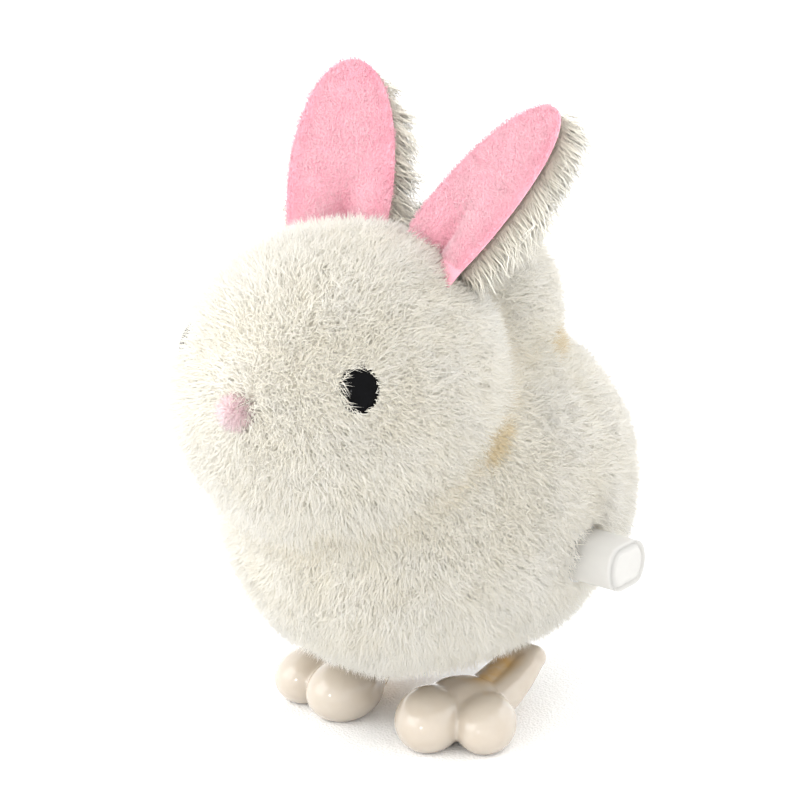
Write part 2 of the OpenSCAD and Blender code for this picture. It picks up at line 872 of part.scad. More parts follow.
body_plush();
body_stuffing();
head_plush();
head_stuffing();
nape_plush();
ear_back();  // ear_left_back
ear_front();  // ear_left_front
mirror([1, 0, 0]) ear_back();  // ear_right_back
mirror([1, 0, 0]) ear_front();  // ear_right_front
color("black") eye_bead();  // eye_left
color("black") mirror([1, 0, 0]) eye_bead();  // eye_right
eye_washers();
nose();
tail();
base_plate();
housing_left();
housing_right();
housing_screw_set();  // housing_screws
motor_screw_set();  // motor_screws
motor_case_left();
motor_case_right();
case_rivets();
shaft_bush();
winding_knob();
winding_shaft();
ratchet_wheel();
mainspring();
great_wheel();
click();
second_wheel();
second_arbor();
crank_pinion();
crank_arbor();
crank_left();
crank_right();
leg_axle();
foot_left();
foot_right();
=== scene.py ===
import json
import logging
import math
from dataclasses import dataclass, replace
from enum import Enum
from typing import Callable, Sequence

import bpy
import numpy as np
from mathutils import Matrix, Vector


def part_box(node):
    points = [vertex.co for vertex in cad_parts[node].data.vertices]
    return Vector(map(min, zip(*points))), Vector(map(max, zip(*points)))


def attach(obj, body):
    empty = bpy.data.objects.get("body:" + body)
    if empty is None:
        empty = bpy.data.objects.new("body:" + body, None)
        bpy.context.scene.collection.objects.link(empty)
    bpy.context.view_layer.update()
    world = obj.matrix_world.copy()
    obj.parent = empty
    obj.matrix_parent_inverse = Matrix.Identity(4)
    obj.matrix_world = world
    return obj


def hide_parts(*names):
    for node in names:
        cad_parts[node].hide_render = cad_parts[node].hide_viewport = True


# Looks of a white plush wind-up hopping rabbit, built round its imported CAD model.
# Lengths are metres, and MM turns the millimetres that the toy is drawn in into them.
# +Z is up, the rabbit faces -Y, and its winding knob is on +X.

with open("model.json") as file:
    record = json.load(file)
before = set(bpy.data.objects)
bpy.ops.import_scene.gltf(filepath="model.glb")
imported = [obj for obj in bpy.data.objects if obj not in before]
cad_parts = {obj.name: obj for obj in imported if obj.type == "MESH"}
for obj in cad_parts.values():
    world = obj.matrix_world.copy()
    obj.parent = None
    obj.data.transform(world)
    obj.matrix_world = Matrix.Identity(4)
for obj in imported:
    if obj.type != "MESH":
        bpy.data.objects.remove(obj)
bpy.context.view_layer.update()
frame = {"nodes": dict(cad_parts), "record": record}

MM = 0.001
Array = np.ndarray
Colour = tuple[float, float, float]
PIECE_TRIANGLES = 180_000
GOLDEN_TURN = math.pi * (3 - math.sqrt(5))
# Steps that fill a square evenly: powers of one over the root of x cubed = x + 1.
EVEN_STEPS = (0.7548776662, 0.5698402910)
WELD_GAP = 0.001 * MM
log = logging.getLogger("rabbit")


# ---------------------------------------------------------------- numbers
def unit(vectors: Array) -> Array:
    """Vectors divided by their lengths."""
    return vectors / np.maximum(np.linalg.norm(vectors, axis=-1, keepdims=True), 1e-12)


def tangent(vectors: Array, normals: Array) -> Array:
    """What is left of vectors once their part along unit normals is taken away."""
    return vectors - np.sum(vectors * normals, axis=-1, keepdims=True) * normals


def smooth_step(values: Array, low: float, high: float) -> Array:
    """0 below low, 1 above high, and three t squared minus two t cubed between them."""
    t = np.clip((values - low) / (high - low), 0.0, 1.0)
    return t * t * (3.0 - 2.0 * t)


def bearing(azimuth: float, elevation: float) -> Array:
    """Unit vector at an azimuth from the rabbit's front and an elevation, both in degrees."""
    turn, lift = math.radians(azimuth), math.radians(elevation)
    flat = math.cos(lift)
    return np.array([math.sin(turn) * flat, -math.cos(turn) * flat, math.sin(lift)])


def circle(count: int) -> Array:
    """Evenly spaced angles, in radians, all the way round."""
    return 2 * math.pi * np.arange(count) / count


class Noise:
    """Smooth random numbers that vary over space and are the same on every run."""

    SIZE = 256

    def __init__(self, seed: int) -> None:
        """Draws a table of numbers and a shuffled order from a seed."""
        rng = np.random.default_rng(seed)
        self.order = rng.permutation(self.SIZE)
        self.values = rng.uniform(-1.0, 1.0, (self.SIZE, 3))

    def vector(self, points: Array, wave: float) -> Array:
        """Three independent smooth numbers at each point.

        The eight corners of the cell that a point lies in are blended with a smooth step.

        Args:
            points: places, n by 3.
            wave: size of a cell.

        Returns:
            Numbers from -1 to 1, n by 3.
        """
        scaled = points / wave
        cell = np.floor(scaled).astype(np.int64)
        part = scaled - cell
        part = part * part * (3.0 - 2.0 * part)
        total = np.zeros((len(points), 3))
        for corner in np.ndindex(2, 2, 2):
            at = cell + np.array(corner)
            slot = self.order[at[:, 0] % self.SIZE]
            slot = self.order[(slot + at[:, 1]) % self.SIZE]
            slot = self.order[(slot + at[:, 2]) % self.SIZE]
            share = np.prod(np.where(np.array(corner) == 1, part, 1.0 - part), axis=1)
            total += share[:, None] * self.values[slot]
        return total

    def number(self, points: Array, wave: float) -> Array:
        """One smooth number from -1 to 1 at each point."""
        return self.vector(points, wave)[:, 0]


# ---------------------------------------------------------------- meshes
def make_piece(
    name: str,
    points: Array,
    faces: Sequence[Array],
    smooth: bool = True,
    attributes: dict[str, Array] | None = None,
) -> bpy.types.Object:
    """A mesh object from whole arrays.

    Args:
        name: the piece's name.
        points: corners, n by 3, in metres.
        faces: arrays of corner numbers, one array for each count of sides.
        smooth: whether faces are shaded smooth.
        attributes: one number for each corner, by name.

    Returns:
        The object, at the origin.
    """
    mesh = bpy.data.meshes.new(name)
    corners = np.concatenate([f.ravel() for f in faces]).astype(np.int32)
    sides = np.concatenate([np.full(len(f), f.shape[1]) for f in faces])
    starts = np.concatenate([[0], np.cumsum(sides)[:-1]]).astype(np.int32)
    mesh.vertices.add(len(points))
    mesh.vertices.foreach_set("co", points.astype(np.float32).ravel())
    mesh.loops.add(len(corners))
    mesh.loops.foreach_set("vertex_index", corners)
    mesh.polygons.add(len(sides))
    mesh.polygons.foreach_set("loop_start", starts)
    mesh.polygons.foreach_set("use_smooth", np.full(len(sides), smooth))
    for key, values in (attributes or {}).items():
        layer = mesh.attributes.new(key, "FLOAT", "POINT")
        layer.data.foreach_set("value", values.astype(np.float32))
    mesh.update(calc_edges=True)
    mesh.validate()
    piece = bpy.data.objects.new(name, mesh)
    bpy.context.scene.collection.objects.link(piece)
    return piece


def read_rows(rows: bpy.types.bpy_prop_collection, key: str) -> Array:
    """One triple for each row of a mesh's collection, n by 3."""
    flat = np.zeros(len(rows) * 3, np.float32)
    rows.foreach_get(key, flat)
    return flat.reshape(-1, 3).astype(float)


def corners_of(piece: bpy.types.Object) -> Array:
    """Places of a piece's corners, n by 3."""
    return read_rows(piece.data.vertices, "co")


def normals_of(piece: bpy.types.Object) -> Array:
    """Normals at a piece's corners, n by 3."""
    return read_rows(piece.data.vertex_normals, "vector")


def move_corners(piece: bpy.types.Object, points: Array) -> None:
    """Puts a piece's corners in new places."""
    piece.data.vertices.foreach_set("co", points.astype(np.float32).ravel())
    piece.data.update()


def tube(
    name: str, rings: Array, close_start: bool = True, close_end: bool = True
) -> bpy.types.Object:
    """A surface through closed rings of points, with its ends drawn to a point.

    The rings are rows of a grid that is joined across its columns' seam. A closed end is a
    fan from the ring's middle. If the surface comes out with a negative volume, seen from
    its middle, every face is turned over.

    Args:
        name: the piece's name.
        rings: rows by columns by 3.
        close_start: whether the first ring is closed.
        close_end: whether the last ring is closed.

    Returns:
        The object.
    """
    rows, columns = rings.shape[:2]
    points = rings.reshape(-1, 3)
    index = np.arange(rows * columns).reshape(rows, columns)
    after = np.roll(index, -1, axis=1)
    quads = np.stack([index[:-1], after[:-1], after[1:], index[1:]], axis=-1).reshape(-1, 4)
    fans = []
    for closed, row in ((close_start, 0), (close_end, rows - 1)):
        if not closed:
            continue
        middle = np.full(columns, len(points))
        points = np.vstack([points, rings[row].mean(axis=0)])
        pair = (after[row], index[row]) if row == 0 else (index[row], after[row])
        fans.append(np.stack([pair[0], pair[1], middle], axis=-1))
    faces = [quads] + ([np.concatenate(fans)] if fans else [])
    seen = points[quads] - points.mean(axis=0)
    volume = np.sum(np.cross(seen[:, 0], seen[:, 1]) * seen[:, 2])
    volume += np.sum(np.cross(seen[:, 0], seen[:, 2]) * seen[:, 3])
    if volume < 0:
        faces = [f[:, ::-1] for f in faces]
    return make_piece(name, points, faces)


def finish_modifiers(piece: bpy.types.Object) -> bpy.types.Object:
    """Makes a piece's modifiers part of its mesh."""
    graph = bpy.context.evaluated_depsgraph_get()
    graph.update()
    made = bpy.data.meshes.new_from_object(piece.evaluated_get(graph))
    piece.modifiers.clear()
    old, piece.data = piece.data, made
    bpy.data.meshes.remove(old)
    return piece


def thicken(piece: bpy.types.Object, depth: float) -> bpy.types.Object:
    """Gives a surface a wall that lies inside it."""
    wall = piece.modifiers.new("wall", "SOLIDIFY")
    wall.thickness = depth
    wall.offset = -1.0
    return finish_modifiers(piece)


def fuse(
    name: str, parts: Sequence[bpy.types.Object], voxel: float, rounds: int
) -> bpy.types.Object:
    """Melts overlapping closed surfaces into one skin and eases its creases.

    Args:
        name: the new piece's name.
        parts: closed surfaces, which are used up.
        voxel: size of the new skin's faces.
        rounds: how many times the creases are eased.

    Returns:
        The new piece.
    """
    points, faces, start = [], [], 0
    for part in parts:
        at = corners_of(part)
        part.data.calc_loop_triangles()
        flat = np.zeros(len(part.data.loop_triangles) * 3, np.int32)
        part.data.loop_triangles.foreach_get("vertices", flat)
        points.append(at)
        faces.append(flat.reshape(-1, 3) + start)
        start += len(at)
        bpy.data.objects.remove(part)
    piece = make_piece(name, np.concatenate(points), [np.concatenate(faces)])
    melt = piece.modifiers.new("melt", "REMESH")
    melt.mode = "VOXEL"
    melt.voxel_size = voxel
    melt.use_smooth_shade = True
    ease = piece.modifiers.new("ease", "SMOOTH")
    ease.factor = 0.5
    ease.iterations = rounds
    return finish_modifiers(piece)


def dress(piece: bpy.types.Object, material: bpy.types.Material) -> None:
    """Gives a piece one material all over."""
    piece.data.materials.clear()
    piece.data.materials.append(material)


def place(
    piece: bpy.types.Object,
    body: str,
    material: bpy.types.Material,
    stands_for: Sequence[str] = (),
) -> bpy.types.Object:
    """Dresses a piece, hangs it on a body and hides the CAD nodes that it stands for."""
    dress(piece, material)
    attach(piece, body)
    if stands_for:
        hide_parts(*stands_for)
    log.info("%s: %d faces, on %s", piece.name, len(piece.data.polygons), body)
    return piece


# ---------------------------------------------------------------- plush forms
@dataclass(frozen=True)
class Egg:
    """A full egg round a line in the plane of symmetry.

    Args:
        centre: its middle, in millimetres.
        radius: greatest radius round its line.
        front: reach ahead of its middle.
        back: reach behind its middle.
        tilt: angle in degrees that its back end drops.
        fullness: 2 is an ellipse, and more is boxier.
    """

    centre: tuple[float, float, float]
    radius: float
    front: float
    back: float
    tilt: float = 0.0
    fullness: float = 2.2

    def inset(self, depth: float) -> "Egg":
        """The same egg with its surface a depth further in."""
        return replace(
            self, radius=self.radius - depth, front=self.front - depth, back=self.back - depth
        )

    @property
    def middle(self) -> Array:
        """Its middle in metres."""
        return np.array(self.centre) * MM

    @property
    def line(self) -> Array:
        """Unit vector from front to back."""
        turn = math.radians(self.tilt)
        return np.array([0.0, math.cos(turn), -math.sin(turn)])

    def shares(self, vectors: Array) -> tuple[Array, Array, Array]:
        """The part of vectors across the line over the radius, the part along it over the
        reach, and that reach."""
        along = vectors @ self.line
        reach = np.where(along < 0, self.front, self.back) * MM
        across = np.linalg.norm(vectors - along[:, None] * self.line, axis=1)
        return across / (self.radius * MM), along / reach, reach

    def level(self, points: Array) -> Array:
        """How far out points lie: 1 on the surface, and less inside.

        The share across and the share along, each to the power of the fullness, are added,
        and the sum is taken to the power of one over the fullness.
        """
        across, along, _ = self.shares(points - self.middle)
        total = across**self.fullness + np.abs(along) ** self.fullness
        return total ** (1.0 / self.fullness)

    def surface(self, directions: Array) -> Array:
        """Where unit vectors from the middle meet the surface."""
        level = self.level(self.middle + directions)
        return self.middle + directions / level[:, None]

    def normals(self, points: Array) -> Array:
        """Unit outward normals, along the slope of the level."""
        vectors = points - self.middle
        across, along, reach = self.shares(vectors)
        outward = unit(vectors - (vectors @ self.line)[:, None] * self.line)
        power = self.fullness - 1.0
        slope_out = across**power / (self.radius * MM)
        slope_on = np.sign(along) * np.abs(along) ** power / reach
        return unit(slope_out[:, None] * outward + slope_on[:, None] * self.line)

    def cap(self, pole: Array, keep: Callable[[Array], Array], rows: int, columns: int) -> Array:
        """A grid over the part of the surface that a test keeps.

        Each column runs down a meridian from the pole to the last angle that the test keeps,
        found by halving an interval.

        Args:
            pole: direction from the middle to the grid's first point.
            keep: a number for each point, positive where the surface stays.
            rows: points down a meridian.
            columns: meridians.

        Returns:
            Rows by columns by 3.
        """
        pole = unit(pole)
        first = unit(np.cross(pole, [1.0, 0.1, 0.05]))
        second = np.cross(pole, first)
        turn = circle(columns)
        outward = np.cos(turn)[:, None] * first + np.sin(turn)[:, None] * second

        def at(angle: Array) -> Array:
            """Surface points at an angle from the pole, one for each meridian."""
            return self.surface(np.cos(angle)[:, None] * pole + np.sin(angle)[:, None] * outward)

        low, high = np.full(columns, 0.02), np.full(columns, math.pi - 0.001)
        for _ in range(30):
            half = (low + high) / 2
            kept = keep(at(half)) > 0
            low, high = np.where(kept, half, low), np.where(kept, high, half)
        return np.stack([at(low * share) for share in np.linspace(0.01, 1.0, rows)])

    def scatter(self, density: float, rng: np.random.Generator) -> tuple[Array, Array]:
        """Evenly spread points and normals.

        Directions lie on a sunflower spiral over the sphere. Each stands for an area of the
        reach squared over the cosine between direction and normal, and is kept with a chance
        in proportion to that area.

        Args:
            density: points for each square millimetre.
            rng: source of chance.

        Returns:
            Points and unit normals, n by 3 each.
        """
        widest = (max(self.radius, self.front, self.back) * 1.15) ** 2
        count = int(4 * math.pi * widest * density)
        step = np.arange(count) + 0.5
        height = 1 - 2 * step / count
        ring = np.sqrt(1 - height**2)
        turn = step * GOLDEN_TURN
        directions = np.stack([ring * np.cos(turn), ring * np.sin(turn), height], axis=1)
        directions = unit(directions + rng.normal(0, 0.35 / math.sqrt(count), directions.shape))
        points = self.surface(directions)
        normals = self.normals(points)
        reach = np.linalg.norm(points - self.middle, axis=1) / MM
        area = reach**2 / np.sum(directions * normals, axis=1)
        chosen = rng.random(count) < area / widest
        return points[chosen], normals[chosen]


def ball(middle: Array, radius: float) -> Egg:
    """A ball round a place in metres, with a radius in millimetres."""
    return Egg(tuple(middle / MM), radius, radius, radius, fullness=2.0)


def everywhere(points: Array) -> Array:
    """A test that keeps every point."""
    return np.ones(len(points))


def settle(
    points: Array, eggs: Sequence[Egg], softness: float
) -> tuple[Array, Array, Array]:
    """Points moved out to the skin that joins several eggs smoothly, and its normals.

    The joined skin is where minus the softness times the log of a sum is 0. The sum is of
    the exponentials of minus each egg's depth over the softness, where the depth is the
    level less one, times the radius. Each egg's share of the sum weighs its normal.

    Args:
        points: places on one of the eggs, n by 3.
        eggs: the forms that meet.
        softness: how wide the fillets are, in millimetres.

    Returns:
        Places and unit normals, n by 3 each, and how far each place is down in a crease, from
        0 to 1, which is twice the share of the sum that isn't its largest part's.
    """
    for _ in range(4):
        depths = np.stack([(egg.level(points) - 1.0) * egg.radius / softness for egg in eggs])
        shares = np.exp(np.clip(-depths, -30.0, 3.0))
        total = shares.sum(axis=0)
        normals = sum(s[:, None] * egg.normals(points) for s, egg in zip(shares, eggs))
        normals = unit(normals)
        points = points + normals * (0.7 * softness * MM * np.log(total))[:, None]
    return points, normals, 2 * (1 - shares.max(axis=0) / total)


@dataclass(frozen=True)
class Strands:
    """Roots, middles and tips of many strands, with a shade for each and the skin's normal."""

    roots: Array
    middles: Array
    tips: Array
    shade: Array
    normals: Array

    def only(self, chosen: Array) -> "Strands":
        """The strands that a mask keeps."""
        return Strands(
            self.roots[chosen],
            self.middles[chosen],
            self.tips[chosen],
            self.shade[chosen],
            self.normals[chosen],
        )

    def clear_of(self, test: Callable[[Array], Array]) -> "Strands":
        """The strands with neither middle nor tip where a test is true."""
        return self.only(~(test(self.middles) | test(self.tips)))


@dataclass(frozen=True)
class Pile:
    """One cut of pile: closed three-sided strands, pointed at both ends, that bend once.

    Args:
        density: strands for each square millimetre.
        length: usual length of a strand, in millimetres.
        width: usual radius of a strand at its bend, in millimetres.
        lean: 0 stands straight up, and 1 lies flat along the flow.
        frizz: share of a strand's direction that is its own.
        clump: how far tips gather into tufts, as a share of the length.
        tuft: distance between tufts, in millimetres.
        droop: share of a tip's direction that is straight down.
        seed: number that the chance starts from.
    """

    density: float
    length: float
    width: float
    lean: float
    frizz: float
    clump: float
    tuft: float
    droop: float
    seed: int

    def grow(self, points: Array, normals: Array, flow: Array) -> Strands:
        """Strands at points.

        The lower half of a strand leans half as much as the upper half. A smooth noise swings
        the flow, a finer one gathers tips, and chance gives each strand its own direction.

        Args:
            points: roots, n by 3.
            normals: unit normals there.
            flow: the way the pile is brushed there.

        Returns:
            The strands.
        """
        rng = np.random.default_rng(self.seed)
        noise = Noise(self.seed + 1)
        count = len(points)
        swing = noise.vector(points, 5.0 * self.tuft * MM)
        brushed = unit(tangent(unit(flow) + 0.75 * swing, normals))
        gather = tangent(noise.vector(points, self.tuft * MM), normals)
        fine = tangent(Noise(self.seed + 2).vector(points, 0.45 * self.tuft * MM), normals)
        own = rng.normal(0, self.frizz, (count, 3))
        patch = noise.number(points + 0.5, 3.0 * self.tuft * MM)
        length = self.length * MM * (0.8 + 0.35 * rng.random(count) + 0.16 * patch)
        half = length[:, None] / 2
        lower = unit(normals * (1 - self.lean / 2) + brushed * self.lean / 2 + own / 2)
        down = np.array([0.0, 0.0, -self.droop])
        upper = unit(normals * (1 - self.lean) + brushed * self.lean + own + down)
        middles = points + lower * half
        tuck = self.clump * length[:, None]
        tips = middles + upper * half + (gather + 0.5 * fine) * tuck
        middles = middles + 0.4 * gather * tuck
        shade = np.clip(0.5 + 0.35 * patch + 0.2 * rng.normal(0, 1, count), 0, 1)
        return Strands(points, middles, tips, shade, normals)

    def mesh(self, name: str, strands: Strands) -> bpy.types.Object:
        """A piece of closed strands: a root, a three-cornered ring at the bend, and a tip.

        Strands are shaded mostly with the skin's normals, so that the pile looks soft.

        Args:
            name: the piece's name.
            strands: the strands.

        Returns:
            The object, with numbers called along, from root to tip, and shade.
        """
        rng = np.random.default_rng(self.seed + 3)
        count = len(strands.roots)
        lower = unit(strands.tips - strands.roots)
        side = unit(np.cross(lower, unit(rng.normal(0, 1, (count, 3)))))
        other = np.cross(lower, side)
        radius = (self.width * MM * (0.75 + 0.5 * rng.random(count)))[:, None]
        corners = [
            strands.middles + radius * (math.cos(turn) * side + math.sin(turn) * other)
            for turn in (0.0, 2 * math.pi / 3, 4 * math.pi / 3)
        ]
        points = np.stack([strands.roots, *corners, strands.tips], axis=1).reshape(-1, 3)
        base = 5 * np.arange(count)[:, None]
        sides = [[1, 2, 4], [2, 3, 4], [3, 1, 4], [2, 1, 0], [3, 2, 0], [1, 3, 0]]
        faces = [np.concatenate([base + np.array(side_at) for side_at in sides])]
        along = np.tile([0.0, 0.5, 0.5, 0.5, 1.0], count)
        piece = make_piece(
            name, points, faces, True, {"along": along, "shade": np.repeat(strands.shade, 5)}
        )
        soft = np.repeat(unit(strands.normals + 0.35 * lower), 5, axis=0)
        own = normals_of(piece)
        piece.data.normals_split_custom_set_from_vertices(unit(soft + 0.35 * own))
        return piece

    def pieces(self, name: str, strands: Strands, middle: Array) -> list[bpy.types.Object]:
        """Strands as pieces under the triangle limit, split by bearing round a middle."""
        parts = max(1, math.ceil(len(strands.roots) * 6 / PIECE_TRIANGLES))
        bearing = np.arctan2(strands.roots[:, 1] - middle[1], strands.roots[:, 0] - middle[0])
        order = np.argsort(bearing, kind="stable")
        made = []
        for number, chosen in enumerate(np.array_split(order, parts), start=1):
            label = f"{name}_{number}" if parts > 1 else name
            made.append(self.mesh(label, strands.only(chosen)))
        return made


# ---------------------------------------------------------------- shader groups
class Effect(Enum):
    """Shader effects that several finishes share."""

    STRAND_TINT = "strand_tint"
    MOULD_GRAIN = "mould_grain"
    MOTTLE = "mottle"


class Nodes:
    """A node tree with short calls for making and linking its nodes."""

    def __init__(self, tree: bpy.types.NodeTree) -> None:
        """Takes the tree that nodes go into."""
        self.tree = tree

    def add(self, kind: str, values: dict | None = None, **settings) -> bpy.types.Node:
        """A node of a kind, with input values by name and settings by attribute."""
        node = self.tree.nodes.new(kind)
        for key, value in settings.items():
            setattr(node, key, value)
        for key, value in (values or {}).items():
            node.inputs[key].default_value = value
        return node

    def join(self, source: bpy.types.NodeSocket, target: bpy.types.NodeSocket) -> None:
        """A link from an output to an input."""
        self.tree.links.new(source, target)

    def blend(
        self, factor: bpy.types.NodeSocket, low: object, high: object
    ) -> bpy.types.NodeSocket:
        """A colour between two others, each a socket or a value."""
        node = self.add("ShaderNodeMix", data_type="RGBA")
        self.join(factor, node.inputs["Factor"])
        for value, socket in ((low, node.inputs[6]), (high, node.inputs[7])):
            if isinstance(value, bpy.types.NodeSocket):
                self.join(value, socket)
            else:
                socket.default_value = value
        return node.outputs[2]

    def spread(self, value: bpy.types.NodeSocket, low: float, high: float) -> bpy.types.NodeSocket:
        """A number stretched so that low becomes 0 and high becomes 1."""
        node = self.add("ShaderNodeMapRange", {"From Min": low, "From Max": high})
        self.join(value, node.inputs["Value"])
        return node.outputs["Result"]


def opaque(colour: Colour) -> tuple[float, float, float, float]:
    """A colour with full alpha."""
    return (*colour, 1.0)


class Groups:
    """The shared shader groups, each built once."""

    def __init__(self) -> None:
        """Builds each group."""
        self.trees = {
            Effect.STRAND_TINT: self.strand_tint(),
            Effect.MOULD_GRAIN: self.mould_grain(),
            Effect.MOTTLE: self.mottle(),
        }

    @staticmethod
    def start(effect: Effect, inputs: dict[str, str], outputs: dict[str, str]) -> tuple:
        """An empty group with named sockets, its nodes, and its input and output nodes."""
        tree = bpy.data.node_groups.new(effect.value, "ShaderNodeTree")
        for direction, sockets in (("INPUT", inputs), ("OUTPUT", outputs)):
            for name, kind in sockets.items():
                tree.interface.new_socket(name, in_out=direction, socket_type=kind)
        nodes = Nodes(tree)
        return nodes, nodes.add("NodeGroupInput"), nodes.add("NodeGroupOutput")

    def strand_tint(self) -> bpy.types.NodeTree:
        """Colour of a strand: a root colour that clears towards the tip, two tip colours that
        change with the strand's own shade and with broad patches, and a colour of painted shade
        that takes over as the shade goes from 0 to -1."""
        colour, number = "NodeSocketColor", "NodeSocketFloat"
        nodes, given, result = self.start(
            Effect.STRAND_TINT,
            {
                "Root": colour,
                "Tip": colour,
                "Shadow Tip": colour,
                "Painted Shade": colour,
                "Patch Scale": number,
            },
            {"Color": colour},
        )
        along = nodes.add("ShaderNodeAttribute", attribute_name="along").outputs["Fac"]
        shade = nodes.add("ShaderNodeAttribute", attribute_name="shade").outputs["Fac"]
        place_at = nodes.add("ShaderNodeTexCoord").outputs["Object"]
        patch = nodes.add("ShaderNodeTexNoise", {"Detail": 3.0, "Roughness": 0.6})
        nodes.join(place_at, patch.inputs["Vector"])
        nodes.join(given.outputs["Patch Scale"], patch.inputs["Scale"])
        mean = nodes.add("ShaderNodeMath", {1: 0.5}, operation="MULTIPLY_ADD")
        nodes.join(shade, mean.inputs[0])
        half = nodes.add("ShaderNodeMath", {1: 0.5}, operation="MULTIPLY")
        nodes.join(patch.outputs["Fac"], half.inputs[0])
        nodes.join(half.outputs[0], mean.inputs[2])
        share = nodes.spread(mean.outputs[0], 0.25, 0.75)
        tip = nodes.blend(share, given.outputs["Shadow Tip"], given.outputs["Tip"])
        rise = nodes.spread(along, 0.0, 0.62)
        strand = nodes.blend(rise, given.outputs["Root"], tip)
        # Below a shade of 0 the strand turns towards the colour of painted shade.
        deep = nodes.blend(nodes.spread(shade, 0.0, -1.0), strand, given.outputs["Painted Shade"])
        nodes.join(deep, result.inputs["Color"])
        return nodes.tree

    def mould_grain(self) -> bpy.types.NodeTree:
        """Moulded plastic's skin: a fine orange peel and slight flow marks as a height, and a
        roughness that varies with both."""
        number = "NodeSocketFloat"
        nodes, given, result = self.start(
            Effect.MOULD_GRAIN,
            {"Peel Scale": number, "Smooth": number, "Rough": number},
            {"Height": number, "Roughness": number},
        )
        place_at = nodes.add("ShaderNodeTexCoord").outputs["Object"]
        peel = nodes.add("ShaderNodeTexNoise", {"Detail": 2.0, "Roughness": 0.5})
        marks = nodes.add("ShaderNodeTexNoise", {"Scale": 160.0, "Detail": 4.0, "Distortion": 1.2})
        nodes.join(place_at, peel.inputs["Vector"])
        nodes.join(place_at, marks.inputs["Vector"])
        nodes.join(given.outputs["Peel Scale"], peel.inputs["Scale"])
        both = nodes.add("ShaderNodeMath", operation="ADD")
        nodes.join(peel.outputs["Fac"], both.inputs[0])
        nodes.join(marks.outputs["Fac"], both.inputs[1])
        nodes.join(both.outputs[0], result.inputs["Height"])
        gloss = nodes.add("ShaderNodeMapRange", {"From Min": 0.35, "From Max": 0.65})
        nodes.join(marks.outputs["Fac"], gloss.inputs["Value"])
        nodes.join(given.outputs["Smooth"], gloss.inputs["To Min"])
        nodes.join(given.outputs["Rough"], gloss.inputs["To Max"])
        nodes.join(gloss.outputs["Result"], result.inputs["Roughness"])
        return nodes.tree

    def mottle(self) -> bpy.types.NodeTree:
        """Two colours in soft clouds of a given scale."""
        colour, number = "NodeSocketColor", "NodeSocketFloat"
        nodes, given, result = self.start(
            Effect.MOTTLE,
            {"Light": colour, "Dark": colour, "Scale": number},
            {"Color": colour},
        )
        place_at = nodes.add("ShaderNodeTexCoord").outputs["Object"]
        cloud = nodes.add("ShaderNodeTexNoise", {"Detail": 4.0, "Roughness": 0.6})
        nodes.join(place_at, cloud.inputs["Vector"])
        nodes.join(given.outputs["Scale"], cloud.inputs["Scale"])
        share = nodes.spread(cloud.outputs["Fac"], 0.3, 0.7)
        mixed = nodes.blend(share, given.outputs["Light"], given.outputs["Dark"])
        nodes.join(mixed, result.inputs["Color"])
        return nodes.tree


GROUPS = Groups()


def new_material(name: str) -> tuple[bpy.types.Material, Nodes, bpy.types.Node]:
    """An empty material, its nodes and its Principled shader."""
    material = bpy.data.materials.new(name)
    material.use_nodes = True
    nodes = Nodes(material.node_tree)
    shader = material.node_tree.nodes["Principled BSDF"]
    return material, nodes, shader


def use_group(nodes: Nodes, effect: Effect, values: dict) -> bpy.types.Node:
    """A shared effect in a material, with its own values."""
    node = nodes.add("ShaderNodeGroup", node_tree=GROUPS.trees[effect])
    for key, value in values.items():
        node.inputs[key].default_value = value
    return node


def add_bump(
    nodes: Nodes, shader: bpy.types.Node, height: bpy.types.NodeSocket, depth: float
) -> None:
    """A bump of a depth in metres on a shader."""
    bump = nodes.add("ShaderNodeBump", {"Strength": 1.0, "Distance": depth})
    nodes.join(height, bump.inputs["Height"])
    nodes.join(bump.outputs["Normal"], shader.inputs["Normal"])


# ---------------------------------------------------------------- finishes
@dataclass(frozen=True)
class PileFinish:
    """Dyed pile: a root colour, tips that vary between two colours, and a colour of painted shade.

    Args:
        name: the material's name.
        root: colour at the cloth.
        tip, shadow_tip: colours of the lightest and the darkest tips.
        deep: colour of painted shade, in creases, at two spots in them, and at the pink ears'
            edges.
        patch_scale: waves to a metre of the broad patches.
        sheen: strength of the soft rim light.
        glow: how far light spreads inside a strand, from 0 to 1.
    """

    name: str
    root: Colour
    tip: Colour
    shadow_tip: Colour
    deep: Colour
    patch_scale: float
    sheen: float = 0.25
    glow: float = 0.0

    def material(self) -> bpy.types.Material:
        """The material for a piece made of strands."""
        material, nodes, shader = new_material(self.name)
        tint = use_group(
            nodes,
            Effect.STRAND_TINT,
            {
                "Root": opaque(self.root),
                "Tip": opaque(self.tip),
                "Shadow Tip": opaque(self.shadow_tip),
                "Painted Shade": opaque(self.deep),
                "Patch Scale": self.patch_scale,
            },
        )
        nodes.join(tint.outputs["Color"], shader.inputs["Base Color"])
        shader.inputs["Roughness"].default_value = 0.85
        shader.inputs["Specular IOR Level"].default_value = 0.2
        shader.inputs["Sheen Weight"].default_value = self.sheen
        shader.inputs["Sheen Roughness"].default_value = 0.5
        shader.inputs["Subsurface Weight"].default_value = self.glow
        shader.inputs["Subsurface Scale"].default_value = 0.8 * MM
        shader.inputs["Subsurface Radius"].default_value = (1.0, 1.0, 1.0)
        return material


